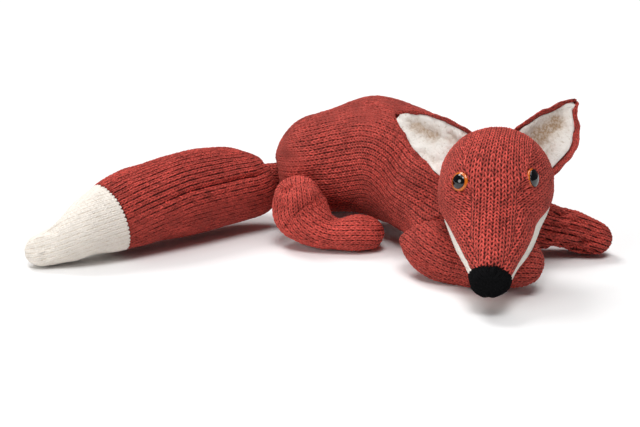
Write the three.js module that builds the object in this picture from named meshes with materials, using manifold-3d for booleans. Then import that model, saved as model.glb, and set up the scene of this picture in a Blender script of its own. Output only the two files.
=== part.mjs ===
import * as THREE from 'three';
import { mergeVertices } from 'three/addons/utils/BufferGeometryUtils.js';
import Module from 'manifold-3d';

// A knitted, stuffed fox that lies on its chest with the chin on one foreleg.
// Millimetres. +X runs from the tail towards the paws, +Z is up.
// The origin is the middle of the flat on which the chest rests.

const wasm = await Module();
wasm.setup();
const { Manifold, Mesh } = wasm;

// Overall sizes
const bodyLength = 250;
const bodyWidth = 112;
const headLength = 112;
const headWidth = 97;
const tailLength = 260;
const tailWidth = 82;
const hindLegLength = 58;
const hindLegWidth = 50;
const foreLegLength = 88;
const foreLegWidth = 42;
const earWidth = 50;
const earHeight = 63;
const earCup = 6;
const neckOpening = 26;
const eyeWidth = 15.5;

// Cloth, seams and rest
const cloth = 2.6;
const seamGap = 0.3;
const jointGap = 0.8;
const restDepth = 0.5;
const earThickness = 5;
const earRim = 3.4;
const liningThickness = 2.2;

// Eyes with a shank that runs through the cloth into a lock washer
const eyeRise = 4.6;
const eyeSkirt = 1.6;
const pupilShare = 0.73;
const irisRimShare = 0.9;
const lensShares = [[0.97, 0], [0.7, 0.55], [0.35, 0.9], [0, 1]];
const pupilRise = 2;
const shankWidth = 5;
const shankLength = 11;
const washerWidth = 13;
const washerThickness = 1.5;

// Colours
const red = 0xa8392f;
const cream = 0xe9e1d0;
const black = 0x18181a;
const amber = 0xc2611a;
const pupilBlack = 0x09090b;
const fibreWhite = 0xf3f1ea;
const washerWhite = 0xdadada;

// Counts
const capRings = 3;
const formSides = 18;
const stuffingSides = 12;
const headingShare = 0.12;
const sweepSteps = 4;

const vector = (x, y, z) => new THREE.Vector3(x, y, z);
const upward = vector(0, 0, 1);
const offset = (from, shares, size) => from.clone().add(vector(...shares).multiplyScalar(size));
const radians = THREE.MathUtils.degToRad;

// A closed solid from one geometry
function solid(geometry) {
  const bare = new THREE.BufferGeometry();
  bare.setAttribute('position', geometry.getAttribute('position'));
  const index = geometry.index ?? mergeVertices(bare).index;
  bare.setIndex(index);
  const merged = mergeVertices(bare);
  const corners = [];
  const source = merged.index.array;
  for (let i = 0; i < source.length; i += 3) {
    const [a, b, c] = [source[i], source[i + 1], source[i + 2]];
    if (a !== b && b !== c && c !== a) corners.push(a, b, c);
  }
  const make = (list) => new Manifold(new Mesh({
    numProp: 3,
    vertProperties: new Float32Array(merged.getAttribute('position').array),
    triVerts: new Uint32Array(list),
  }));
  const made = make(corners);
  if (made.volume() > 0) return made;
  const turned = [];
  for (let i = 0; i < corners.length; i += 3) {
    turned.push(corners[i], corners[i + 2], corners[i + 1]);
  }
  return make(turned);
}

// Rows of shares [along x, along y, up, radius] become points and radii.
// A row with no height rests on the floor.
function place(rows, root, length, width) {
  return rows.map(([x, y, z, r]) => {
    const radius = r * width;
    const height = z === null ? radius - restDepth : z * width;
    return { point: vector(root.x + x * length, root.y + y * length, height), radius };
  });
}

// A turned profile set along a curved spine, with domed ends
function form(stations, options = {}) {
  const { rings = 12, sides = formSides, less = 0, underShare = 1, startShare = 1, endShare = 1 } = options;
  const spine = new THREE.CatmullRomCurve3(stations.map((s) => s.point), false, 'centripetal');
  const radii = new THREE.CatmullRomCurve3(
    stations.map((s) => vector(s.radius, 0, 0)), false, 'catmullrom');
  const heading = (t) => spine.getPoint(Math.min(t + headingShare, 1))
    .sub(spine.getPoint(Math.max(t - headingShare, 0)))
    .normalize();
  const sections = [];
  const first = stations[0].radius - less;
  const last = stations[stations.length - 1].radius - less;
  for (let k = capRings; k > 0; k -= 1) {
    const turn = (k / capRings) * (Math.PI / 2);
    const tangent = heading(0);
    sections.push({
      centre: spine.getPoint(0).addScaledVector(tangent, -first * startShare * Math.sin(turn)),
      tangent,
      radius: k === capRings ? 0 : first * Math.cos(turn),
    });
  }
  for (let k = 0; k <= rings; k += 1) {
    const t = k / rings;
    sections.push({
      centre: spine.getPoint(t),
      tangent: heading(t),
      radius: radii.getPoint(t).x - less,
    });
  }
  for (let k = 1; k <= capRings; k += 1) {
    const turn = (k / capRings) * (Math.PI / 2);
    const tangent = heading(1);
    sections.push({
      centre: spine.getPoint(1).addScaledVector(tangent, last * endShare * Math.sin(turn)),
      tangent,
      radius: k === capRings ? 0 : last * Math.cos(turn),
    });
  }
  const profile = sections.map((s, k) => new THREE.Vector2(s.radius, k));
  const lathe = new THREE.LatheGeometry(profile, sides);
  const position = lathe.getAttribute('position');
  for (let i = 0; i < position.count; i += 1) {
    const section = sections[Math.round(position.getY(i))];
    const side = section.tangent.clone().cross(upward).normalize();
    const up = side.clone().cross(section.tangent).normalize();
    const rise = position.getZ(i) < 0 ? position.getZ(i) * underShare : position.getZ(i);
    const moved = section.centre.clone()
      .addScaledVector(side, position.getX(i))
      .addScaledVector(up, rise);
    position.setXYZ(i, moved.x, moved.y, moved.z);
  }
  return solid(lathe);
}

// A round blob with three half sizes
function blob(centre, halves, sides = formSides) {
  const ball = new THREE.SphereGeometry(1, sides, Math.round(sides / 2));
  ball.scale(halves.x, halves.y, halves.z);
  ball.translate(centre.x, centre.y, centre.z);
  return solid(ball);
}

// A round bar from one point to another
function bar(from, to, radius, sides = formSides) {
  const length = from.distanceTo(to);
  const round = new THREE.CylinderGeometry(radius, radius, length, sides);
  const turn = new THREE.Quaternion().setFromUnitVectors(
    vector(0, 1, 0), to.clone().sub(from).normalize());
  round.applyQuaternion(turn);
  const middle = from.clone().add(to).divideScalar(2);
  round.translate(middle.x, middle.y, middle.z);
  return solid(round);
}

const aboveFloor = (body) => body.trimByPlane([0, 0, 1], 0);

// A solid turned about an axis through a point
function turned(body, pivot, axis, degrees) {
  const matrix = new THREE.Matrix4().makeTranslation(pivot.x, pivot.y, pivot.z)
    .multiply(new THREE.Matrix4().makeRotationAxis(axis.clone().normalize(), radians(degrees)))
    .multiply(new THREE.Matrix4().makeTranslation(-pivot.x, -pivot.y, -pivot.z));
  return body.transform(matrix.elements);
}

// All that a fixed body covers as seen by a limb that turns from low to high
function swept(body, pivot, axis, low, high, steps = sweepSteps) {
  let all = body;
  for (let k = 0; k <= steps; k += 1) {
    const angle = low + ((high - low) * k) / steps;
    all = all.add(turned(body, pivot, axis, -angle));
  }
  return all;
}

const group = new THREE.Group();

// A named piece of the fox
function add(name, body, colour, finish = {}) {
  const mesh = body.getMesh();
  const geometry = new THREE.BufferGeometry();
  const points = new Float32Array(mesh.numVert * 3);
  for (let i = 0; i < mesh.numVert; i += 1) {
    for (let k = 0; k < 3; k += 1) {
      points[i * 3 + k] = mesh.vertProperties[i * mesh.numProp + k];
    }
  }
  geometry.setAttribute('position', new THREE.BufferAttribute(points, 3));
  geometry.setIndex(new THREE.BufferAttribute(new Uint32Array(mesh.triVerts), 1));
  const flat = geometry.toNonIndexed();
  flat.computeVertexNormals();
  const material = new THREE.MeshStandardMaterial({
    color: colour, roughness: 0.95, metalness: 0, ...finish,
  });
  const piece = new THREE.Mesh(flat, material);
  piece.name = name;
  group.add(piece);
}

// Torso
const torsoShares = [
  [-0.372, 0.12, 0.585, 0.41],
  [-0.284, 0.128, 0.617, 0.46],
  [-0.192, 0.116, 0.627, 0.496],
  [-0.088, 0.074, 0.57, 0.49],
  [0, 0, null, 0.457],
  [0.068, -0.176, 0.429, 0.411],
  [0.096, -0.248, 0.402, 0.366],
];
const torsoStations = place(torsoShares, vector(0, 0, 0), bodyLength, bodyWidth);
const rump = torsoStations[0];
const neck = torsoStations[torsoStations.length - 1];
const torsoOuter = aboveFloor(form(torsoStations, { rings: 13, sides: 26 }));
const torsoInner = form(torsoStations, { rings: 10, sides: 18, less: cloth })
  .trimByPlane([0, 0, 1], cloth);
const torsoClear = form(torsoStations, { rings: 13, sides: 26, less: -jointGap });

// Head, whose axis runs from the skull's middle down to the nose
const headFront = vector(-0.118, -0.823, -0.555).normalize();
const headSide = headFront.clone().cross(upward).normalize();
const headUp = headSide.clone().cross(headFront).normalize();
const skullShares = [0.175, -0.515, 0.361];
const skull = offset(neck.point, skullShares, headWidth);
const jawShare = 0.62;
const headShares = [
  [0, 0.5],
  [0.18, 0.475],
  [0.34, 0.418],
  [0.545, 0.322],
  [0.72, 0.234],
  [0.85, 0.178],
];
const onHead = (along, side, up) => skull.clone()
  .addScaledVector(headFront, along)
  .addScaledVector(headSide, side)
  .addScaledVector(headUp, up);
const headStations = headShares.map(([along, r]) => (
  { point: onHead(along * headLength, 0, 0), radius: r * headWidth }));
const headShape = { rings: 9, sides: 22, underShare: jawShare };
const headFillShape = { rings: 7, sides: 14, underShare: jawShare };
const headOuter = form(headStations, headShape);
const headInner = form(headStations, { ...headFillShape, less: cloth });
const headClear = form(headStations, { ...headShape, less: -seamGap });

// The neck seam, where the head nods up
const nodHigh = 35;
const nodAxis = vector(-1, 0, 0);
const torsoFromHead = swept(torsoClear, neck.point, nodAxis, 0, nodHigh);
const headCut = headOuter.subtract(torsoFromHead);
const headCover = headCut.subtract(headInner);

// The muzzle's cream jaw lies under a plane that rises towards the nose
const jawRise = 10;
const jawStartShare = 0.12;
const jawNormal = headUp.clone().multiplyScalar(Math.cos(radians(jawRise)))
  .addScaledVector(headFront, -Math.sin(radians(jawRise)));
const jawHeight = jawNormal.dot(onHead(jawStartShare * headLength, 0, 0));
const noseStartShare = 0.83;
const noseHeight = headFront.dot(onHead(noseStartShare * headLength, 0, 0));
const axisOf = (v) => [v.x, v.y, v.z];
const behindNose = (body) => body.trimByPlane(
  axisOf(headFront.clone().negate()), -(noseHeight - seamGap / 2));

// Eyes
const eyeShares = [
  { name: 'eye_right', station: 0.222, across: 0.284, up: 0.355, aim: [0.465, 0.573, 0.675] },
  { name: 'eye_left', station: 0.163, across: -0.309, up: 0.352, aim: [0.22, -0.86, 0.46] },
];
const eyes = eyeShares.map(({ name, station, across, up, aim: [front, side, rise] }) => {
  const aim = headFront.clone().multiplyScalar(front)
    .addScaledVector(headSide, side)
    .addScaledVector(headUp, rise)
    .normalize();
  const seat = onHead(station * headLength, across * headWidth, up * headWidth);
  return { name, aim, seat };
});

// A turned part that stands on a seat and points along an aim
function turnedPart(outline, seat, aim, sides) {
  const lathe = new THREE.LatheGeometry(outline.map(([r, y]) => new THREE.Vector2(r, y)), sides);
  lathe.applyQuaternion(new THREE.Quaternion().setFromUnitVectors(vector(0, 1, 0), aim));
  lathe.translate(seat.x, seat.y, seat.z);
  return solid(lathe);
}

const eyeRadius = eyeWidth / 2;
const pupilRadius = eyeRadius * pupilShare;
const domeAt = (r) => eyeRise * Math.sqrt(1 - (r / eyeRadius) ** 2);
const pupilFloor = domeAt(pupilRadius) - seamGap;
let headTools = null;
let stuffingTools = null;
for (const { name, aim, seat } of eyes) {
  const shankRadius = shankWidth / 2;
  const dome = [
    [0, pupilFloor],
    [pupilRadius, pupilFloor],
    [pupilRadius, domeAt(pupilRadius)],
    [eyeRadius * irisRimShare, domeAt(eyeRadius * irisRimShare)],
    [eyeRadius, 0],
    [eyeRadius, -eyeSkirt],
    [shankRadius, -eyeSkirt],
    [shankRadius, -shankLength],
    [0, -shankLength],
  ];
  add(`${name}_iris`, turnedPart(dome, seat, aim, 24), amber, { roughness: 0.15 });
  const lens = [
    [0, pupilFloor + seamGap / 3],
    [pupilRadius - seamGap / 3, pupilFloor + seamGap / 3],
    ...lensShares.map(([r, y]) => [pupilRadius * r, domeAt(pupilRadius) + pupilRise * y]),
  ];
  add(`${name}_pupil`, turnedPart(lens, seat, aim, 20), pupilBlack, { roughness: 0.05 });
  const inside = -eyeSkirt - seamGap - cloth - seamGap;
  const washer = [
    [shankRadius + seamGap / 3, inside],
    [washerWidth / 2, inside],
    [washerWidth / 2, inside - washerThickness],
    [shankRadius + seamGap / 3, inside - washerThickness],
    [shankRadius + seamGap / 3, inside],
  ];
  add(`${name}_washer`, turnedPart(washer, seat, aim, 20), washerWhite, { roughness: 0.4 });
  const along = (reach) => seat.clone().addScaledVector(aim, reach);
  const socket = bar(along(-eyeSkirt - seamGap), along(eyeWidth), eyeRadius + seamGap)
    .add(bar(along(-shankLength), along(0), shankRadius + seamGap))
    .add(bar(along(inside - washerThickness - seamGap), along(inside + seamGap),
      washerWidth / 2 + seamGap));
  const hollow = bar(along(inside - washerThickness - seamGap), along(eyeWidth),
    washerWidth / 2 + seamGap)
    .add(bar(along(-shankLength - seamGap), along(0), shankRadius + seamGap));
  headTools = headTools ? headTools.add(socket) : socket;
  stuffingTools = stuffingTools ? stuffingTools.add(hollow) : hollow;
}

const sockets = eyes.map(({ aim, seat }) => {
  const back = seat.clone().addScaledVector(aim, -eyeSkirt - seamGap - cloth);
  return bar(back, seat.clone().addScaledVector(aim, eyeWidth), eyeRadius + cloth + seamGap);
}).reduce((a, b) => a.add(b));
const faceWall = headCut.subtract(headInner.subtract(sockets)).subtract(headTools);
const face = behindNose(faceWall).trimByPlane(
  axisOf(jawNormal), jawHeight + seamGap / 2);
const jaw = behindNose(headCover).trimByPlane(
  axisOf(jawNormal.clone().negate()), -(jawHeight - seamGap / 2));
const nose = headOuter.subtract(headInner).trimByPlane(
  axisOf(headFront), noseHeight + seamGap / 2);
add('face_knit', face, red);
add('jaw_knit', jaw, cream);
add('nose_knit', nose, black);
const headFill = form(headStations, { ...headFillShape, less: cloth + seamGap })
  .subtract(torsoFromHead).subtract(stuffingTools).subtract(sockets);
add('head_stuffing', headFill, fibreWhite);

// Body cover, open at the neck, and its filling
const neckWay = skull.clone().sub(neck.point).normalize();
const neckHole = bar(
  neck.point, neck.point.clone().addScaledVector(neckWay, bodyWidth), neckOpening / 2);
const bodyCover = torsoOuter.subtract(torsoInner).subtract(neckHole);
add('body_knit', bodyCover, red);
const torsoFill = form(torsoStations, { rings: 10, sides: 18, less: cloth + seamGap })
  .trimByPlane([0, 0, 1], cloth + seamGap);
add('body_stuffing', torsoFill.subtract(bodyCover), fibreWhite);

// Ears: a red back whose rim stands around a cream lining
const earColumns = 8;
const earRows = 6;
const earCurve = 1.35;
const earTaperShare = 0.93;
const earSinkShare = 0.16;
function earPanel(frame, halfWidth, from, to, back, front) {
  const box = new THREE.BoxGeometry(2, 1, 1, earColumns, earRows, 1);
  const position = box.getAttribute('position');
  for (let i = 0; i < position.count; i += 1) {
    const across = position.getX(i);
    const rise = from + (position.getY(i) + 0.5) * (to - from);
    const depth = back + (position.getZ(i) + 0.5) * (front - back);
    const narrow = 1 - earTaperShare * Math.max(rise, 0) ** earCurve;
    const cup = earCup * across * across * narrow;
    const moved = frame.middle.clone()
      .addScaledVector(frame.across, across * (halfWidth - (1 - narrow) * earWidth / 2))
      .addScaledVector(frame.rise, rise * earHeight)
      .addScaledVector(frame.front, depth + cup);
    position.setXYZ(i, moved.x, moved.y, moved.z);
  }
  return solid(box);
}
const earBack = 15;
const earForward = 30;
const earShares = [
  {
    name: 'ear_right',
    middle: [-0.32, 0.219, 0.177],
    across: vector(0.53, 0.1, 0.84),
    rise: vector(-0.738, 0.477, 0.478),
  },
  {
    name: 'ear_left',
    middle: [0.309, 0.195, 0.222],
    across: vector(0.665, -0.21, -0.717),
    rise: vector(0.66, 0.446, 0.606),
  },
];
for (const ear of earShares) {
  const middle = offset(skull, ear.middle, headWidth);
  const rise = ear.rise.clone().normalize();
  const across = ear.across.clone().addScaledVector(rise, -ear.across.dot(rise)).normalize();
  const front = across.clone().cross(rise);
  const frame = { middle, rise, across, front };
  const headFromEar = swept(headClear, middle, across, -earBack, earForward);
  const half = earWidth / 2;
  const inner = half - earRim;
  const top = 1 - earRim * 2 / earHeight;
  const slab = earPanel(frame, half, -earSinkShare, 1, 0, earThickness);
  const gapShare = seamGap / earHeight;
  const pocket = earPanel(frame, inner + seamGap, -earSinkShare - gapShare, top + gapShare,
    earThickness - liningThickness - seamGap, earThickness * 2);
  const lining = earPanel(frame, inner, -earSinkShare, top,
    earThickness - liningThickness, earThickness - seamGap * 2);
  add(`${ear.name}_back`, slab.subtract(pocket).subtract(headFromEar), red);
  add(`${ear.name}_lining`, lining.subtract(headFromEar), cream);
}

// A stuffed limb that turns on the body: a filling and a cover with a mouth at its seam
const mouthShare = 0.4;
function limb(name, shape, root, blocks) {
  const clear = blocks.reduce((a, b) => a.add(b));
  const mouth = bar(root.point, root.towards, root.radius * mouthShare);
  const cover = aboveFloor(shape(0)).subtract(shape(cloth).trimByPlane([0, 0, 1], cloth))
    .subtract(mouth);
  add(`${name}_knit`, cover.subtract(clear), red);
  const fill = shape(cloth + seamGap).trimByPlane([0, 0, 1], cloth + seamGap);
  add(`${name}_stuffing`, fill.subtract(clear), fibreWhite);
}
const sidesFor = (less) => (less ? stuffingSides : formSides);

// Forelegs: the right one crosses under the chin, the left one points away
const foreRightShares = [
  [0, 0, 0.81, 0.44],
  [0.103, -0.152, 0.619, 0.476],
  [0.302, -0.255, null, 0.493],
  [0.581, -0.425, null, 0.486],
  [0.86, -0.51, 0.53, 0.455],
];
const foreLeftShares = [
  [0, 0, 1.048, 0.548],
  [0.248, -0.047, 0.857, 0.526],
  [0.502, -0.058, 0.667, 0.486],
  [0.725, -0.077, null, 0.443],
  [0.85, -0.103, null, 0.4],
];
const shoulderRightShares = [-0.343, -0.315, 0];
const shoulderLeftShares = [0.377, 0.215, 0];
const shoulderRight = offset(neck.point, shoulderRightShares, bodyWidth)
  .setZ(foreRightShares[0][2] * foreLegWidth);
const shoulderLeft = offset(neck.point, shoulderLeftShares, bodyWidth)
  .setZ(foreLeftShares[0][2] * foreLegWidth);
const foreRight = place(foreRightShares, shoulderRight, foreLegLength, foreLegWidth);
const foreLeft = place(foreLeftShares, shoulderLeft, foreLegLength, foreLegWidth);
const foreRightAxis = vector(0, 1, 0);
limb('foreleg_right',
  (less) => form(foreRight, { rings: less ? 7 : 9, sides: sidesFor(less), less }),
  { ...foreRight[0], towards: neck.point },
  [swept(torsoClear, shoulderRight, foreRightAxis, 0, 90), headClear]);
limb('foreleg_left',
  (less) => form(foreLeft, { rings: less ? 6 : 8, sides: sidesFor(less), less }),
  { ...foreLeft[0], towards: neck.point },
  [swept(torsoClear, shoulderLeft, upward, -20, 40)]);

// Hind legs: a round thigh at the rump and a foot that lies forward
const thighShares = [0.48, 0.62, 0.5];
const thighHeightShare = 0.72;
const footShares = [
  [0.06, 0.15, 0.5, 0.47],
  [0.431, 0.259, 0.39, 0.376],
  [0.793, 0.293, null, 0.34],
  [1.017, 0.259, null, 0.304],
];
const hipShares = [
  { name: 'hindleg_right', hand: -1, place: [-0.217, -0.42, 0] },
  { name: 'hindleg_left', hand: 1, place: [-0.137, 0.42, 0] },
];
for (const { name, hand, place: hipPlace } of hipShares) {
  const hip = offset(rump.point, hipPlace, bodyWidth).setZ(thighHeightShare * hindLegWidth);
  const rows = footShares.map(([x, y, z, r]) => [x, hand * y, z, r]);
  const foot = place(rows, hip, hindLegLength, hindLegWidth);
  const outward = vector(0, hip.y - rump.point.y, hip.z - rump.point.z).normalize();
  const axis = outward.multiplyScalar(-hand);
  const shape = (less) => {
    const halves = vector(...thighShares).multiplyScalar(hindLegWidth);
    halves.subScalar(less);
    return blob(hip, halves, sidesFor(less))
      .add(form(foot, { rings: less ? 5 : 6, sides: sidesFor(less), less }));
  };
  const root = { point: hip, towards: rump.point, radius: thighShares[0] * hindLegWidth };
  limb(name, shape, root, [swept(torsoClear, hip, axis, -60, 70, 7)]);
}

// Tail: a gathered neck, a long red swell and a cream tip
const tailNeckShares = [
  [0, 0, 0.61, 0.134],
  [-0.052, 0.01, 0.591, 0.146],
  [-0.092, 0.01, 0.561, 0.165],
];
const tailShares = [
  [-0.096, 0.008, 0.561, 0.22],
  [-0.142, -0.004, 0.518, 0.39],
  [-0.229, -0.065, 0.483, 0.489],
  [-0.34, -0.169, null, 0.5],
  [-0.469, -0.255, null, 0.463],
  [-0.594, -0.339, null, 0.407],
  [-0.687, -0.394, null, 0.35],
  [-0.754, -0.429, null, 0.273],
  [-0.797, -0.438, null, 0.195],
];
const tipRow = 5;
const tailRootShares = [-0.36, 0.1, 0];
const tailRoot = offset(rump.point, tailRootShares, bodyWidth);
const tailNeck = place(tailNeckShares, tailRoot, tailLength, tailWidth);
const tail = place(tailShares, tailRoot, tailLength, tailWidth);
const swingPivot = tailNeck[0].point;
const liftPivot = tailNeck[tailNeck.length - 1].point;
const tailWay = tail[2].point.clone().sub(liftPivot).setZ(0).normalize();
const liftAxis = tailWay.clone().cross(upward);
const torsoFromTail = swept(torsoClear, swingPivot, upward, -50, 15);
const neckShape = (less) => form(tailNeck, { rings: 4, sides: stuffingSides, less });
add('tail_neck_knit',
  neckShape(0).subtract(neckShape(cloth)).subtract(torsoFromTail), red);
const neckRound = tailNeck[tailNeck.length - 1].radius + seamGap * 3;
const neckBall = blob(liftPivot, vector(neckRound, neckRound, neckRound), stuffingSides);
const neckBar = bar(liftPivot, swingPivot, neckRound, stuffingSides);
const neckFromTail = neckBall.add(swept(neckBar, liftPivot, liftAxis, 0, 45, 2))
  .add(neckShape(-seamGap));
const tailShape = (less) => form(tail, {
  rings: less ? 9 : 13, sides: sidesFor(less), less, startShare: 0.2,
});
const tailClear = torsoFromTail.add(neckFromTail);
const tailCover = aboveFloor(tailShape(0)).subtract(tailClear)
  .subtract(tailShape(cloth).trimByPlane([0, 0, 1], cloth));
const tipWay = tail[tipRow].point.clone().sub(tail[tipRow - 1].point).setZ(0).normalize();
const tipStart = tipWay.dot(tail[tipRow].point);
add('tail_knit', tailCover.trimByPlane(
  axisOf(tipWay.clone().negate()), -(tipStart - seamGap / 2)), red);
add('tail_tip_knit', tailCover.trimByPlane(axisOf(tipWay), tipStart + seamGap / 2), cream);
add('tail_stuffing', tailShape(cloth + seamGap).trimByPlane([0, 0, 1], cloth + seamGap)
  .subtract(tailClear), fibreWhite);

export default group;
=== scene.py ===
# %% [markdown]
# # A knitted fox that lies on its chest
#
# The toy is sewn from tubes of plain knitting, stuffed with loose fibre. Blender loads the packed
# model first, as a fixed frame, so that each knitted piece is made in place, in metres.

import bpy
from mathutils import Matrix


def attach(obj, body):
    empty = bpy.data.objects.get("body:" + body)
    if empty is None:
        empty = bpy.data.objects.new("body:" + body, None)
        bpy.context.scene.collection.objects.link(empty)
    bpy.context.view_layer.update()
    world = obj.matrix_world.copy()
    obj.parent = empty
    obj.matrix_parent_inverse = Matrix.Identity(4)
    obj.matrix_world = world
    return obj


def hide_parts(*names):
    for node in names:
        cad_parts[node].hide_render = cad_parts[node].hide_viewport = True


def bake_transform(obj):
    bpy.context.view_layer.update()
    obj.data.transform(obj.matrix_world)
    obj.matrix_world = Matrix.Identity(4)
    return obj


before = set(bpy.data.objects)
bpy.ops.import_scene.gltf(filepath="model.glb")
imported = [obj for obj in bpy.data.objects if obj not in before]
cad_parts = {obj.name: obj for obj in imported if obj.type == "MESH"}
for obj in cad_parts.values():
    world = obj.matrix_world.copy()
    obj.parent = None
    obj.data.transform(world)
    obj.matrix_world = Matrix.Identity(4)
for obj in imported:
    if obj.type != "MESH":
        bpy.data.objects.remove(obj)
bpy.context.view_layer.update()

# %% Tools and units
import math

import bmesh
import bpy
import numpy as np
from mathutils import Matrix, Vector

MM = 0.001
scene = bpy.context.scene
scene.view_settings.view_transform = "Standard"


def unit(vectors):
    """The same directions, each with a length of one."""
    vectors = np.asarray(vectors, float)
    return vectors / np.maximum(np.linalg.norm(vectors, axis=-1, keepdims=True), 1e-9)


def lengths_along(points):
    """How far along a line of points each of them lies."""
    steps = np.linalg.norm(np.diff(points, axis=0), axis=1)
    return np.concatenate([[0.0], np.cumsum(steps)])


def rows_at(places, marks, table):
    """The rows of a table at places between its marks."""
    return np.stack([np.interp(places, marks, column) for column in table.T], axis=1)


def fade(value, first, last):
    """Goes evenly from 0 at first to 1 at last, whichever of the two is larger."""
    return np.clip((value - first) / (last - first), 0, 1)


# %% [markdown]
# ## The camera
#
# The camera comes first, because every later choice is judged through it. A longish lens, a metre
# away and a little above the table, keeps the nose and the tail at nearly the same scale.

# %% Camera
LENS = 70
CAMERA_PLACE = Vector((-0.102, -1.0965, 0.3497))
CAMERA_TARGET = Vector((-0.102, -0.061, 0.043))

camera_data = bpy.data.cameras.new("camera")
camera_data.lens = LENS
camera_data.clip_end = 20
camera = bpy.data.objects.new("camera", camera_data)
camera.location = CAMERA_PLACE
camera.rotation_euler = (CAMERA_TARGET - CAMERA_PLACE).to_track_quat("-Z", "Y").to_euler()
scene.collection.objects.link(camera)
scene.camera = camera
print("camera:", round((CAMERA_TARGET - CAMERA_PLACE).length, 3), "m from the fox")

# %% [markdown]
# ## Materials from small parts
#
# Every material here is made by a recipe: a function that places nodes and names the Principled
# sockets they feed. A signal stands for what a node puts out, so that sums of patterns read as
# sums.


# %% Signals
class Signal:
    """What a node puts out. Arithmetic on it places Math nodes."""

    def __init__(self, tree, socket):
        self.tree, self.socket = tree, socket

    def __add__(self, other):
        return calc(self.tree, "ADD", self, other)

    def __sub__(self, other):
        return calc(self.tree, "SUBTRACT", self, other)

    def __rsub__(self, other):
        return calc(self.tree, "SUBTRACT", other, self)

    def __mul__(self, other):
        return calc(self.tree, "MULTIPLY", self, other)

    def __truediv__(self, other):
        return calc(self.tree, "DIVIDE", self, other)

    def __pow__(self, other):
        return calc(self.tree, "POWER", self, other)

    def __abs__(self):
        return calc(self.tree, "ABSOLUTE", self)


# %% Node helpers
def feed(tree, socket, value):
    """Sets a socket to a number or a colour, or links it to a signal."""
    if isinstance(value, Signal):
        tree.links.new(value.socket, socket)
    else:
        socket.default_value = value


def add_node(tree, kind, inputs=(), output=0, **settings):
    """One node with its settings and inputs. Returns one of its outputs."""
    node = tree.nodes.new(kind)
    for name, value in settings.items():
        setattr(node, name, value)
    for key, value in dict(inputs).items():
        feed(tree, node.inputs[key], value)
    return Signal(tree, node.outputs[output])


def calc(tree, operation, *values, clamp=False):
    """One Math node."""
    return add_node(tree, "ShaderNodeMath", enumerate(values), operation=operation,
                    use_clamp=clamp)


def ramp(value, low, high, to_low=0.0, to_high=1.0):
    """A smooth change from one number to another, where value goes from low to high."""
    numbers = enumerate((value, low, high, to_low, to_high))
    return add_node(value.tree, "ShaderNodeMapRange", numbers, interpolation_type="SMOOTHSTEP")


def blend_colours(tree, share, first, second, mode="MIX"):
    """A colour between two others."""
    return add_node(tree, "ShaderNodeMix", {0: share, 6: first, 7: second}, output=2,
                    data_type="RGBA", blend_type=mode, clamp_factor=True)


def noise(place, scale, detail=2.0, roughness=0.5):
    """A cloudy pattern from 0 to 1."""
    settings = {"Vector": place, "Scale": scale, "Detail": detail, "Roughness": roughness}
    return add_node(place.tree, "ShaderNodeTexNoise", settings, output="Fac")


def object_place(tree):
    """Where a point lies on its own object."""
    return add_node(tree, "ShaderNodeTexCoord", output="Object")


def relief(height, distance):
    """The normal of a surface with a fine relief."""
    return add_node(height.tree, "ShaderNodeBump",
                    {"Strength": 0.9, "Distance": distance, "Height": height}, output="Normal")


def material_of(name, recipe):
    """A material whose Principled sockets take what the recipe makes in its node tree."""
    material = bpy.data.materials.new(name)
    material.use_nodes = True
    tree = material.node_tree
    tree.nodes.clear()
    output = tree.nodes.new("ShaderNodeOutputMaterial")
    shader = tree.nodes.new("ShaderNodeBsdfPrincipled")
    tree.links.new(shader.outputs["BSDF"], output.inputs["Surface"])
    for socket, value in recipe(tree).items():
        feed(tree, shader.inputs[socket], value)
    return material


# %% [markdown]
# ## Studio light
#
# The fox lies on a white sweep of paper under four large soft lamps. Each is a sun with a wide
# angle, so the paper is lit evenly, as a wall of lamps would light it. Their levels are balanced so
# that the backs, the sides and the undersides come out as bright as in the photograph. The world
# is white to the camera and gives only a dim fill. The paper is a little darker to the light that
# bounces off it, which keeps the fox's belly in shade.

# %% World
SKY_LEVEL = 0.08
world = bpy.data.worlds.new("studio")
scene.world = world
world.use_nodes = True
sky = world.node_tree
sky.nodes.clear()
seen = calc(sky, "MAXIMUM", *(add_node(sky, "ShaderNodeLightPath", output=ray)
                              for ray in ("Is Camera Ray", "Is Transmission Ray")))
sky_light = add_node(sky, "ShaderNodeBackground", {
    "Color": (1, 1, 1, 1), "Strength": calc(sky, "MAXIMUM", seen, SKY_LEVEL)})
feed(sky, sky.nodes.new("ShaderNodeOutputWorld").inputs["Surface"], sky_light)

# %% Lamps
# Each lamp has a name, a level, the angle that it fills in degrees, and the way to it.
SOFT_LAMPS = [
    ("lamp_front", 1.40, 25, (0, -0.4, 0.92)),
    ("lamp_behind", 1.15, 22, (-0.35, 0.42, 0.84)),
    ("lamp_above", 0.80, 60, (0, 0, 1)),
    ("lamp_left", 0.90, 30, (-0.72, -0.58, 0.38)),
]
for name, level, angle, way in SOFT_LAMPS:
    lamp_data = bpy.data.lights.new(name, "SUN")
    lamp_data.energy = level
    lamp_data.angle = math.radians(angle)
    lamp = bpy.data.objects.new(name, lamp_data)
    lamp.rotation_euler = (-Vector(way)).to_track_quat("-Z", "Y").to_euler()
    scene.collection.objects.link(lamp)

# %% Floor
FLOOR_HALF = 4.0
PAPER_SEEN, PAPER_BOUNCED = (0.97, 0.97, 0.97, 1), (0.86, 0.86, 0.86, 1)
floor_mesh = bpy.data.meshes.new("floor")
work = bmesh.new()
bmesh.ops.create_grid(work, x_segments=1, y_segments=1, size=FLOOR_HALF)
work.to_mesh(floor_mesh)
work.free()
floor = bpy.data.objects.new("floor", floor_mesh)
scene.collection.objects.link(floor)


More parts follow.
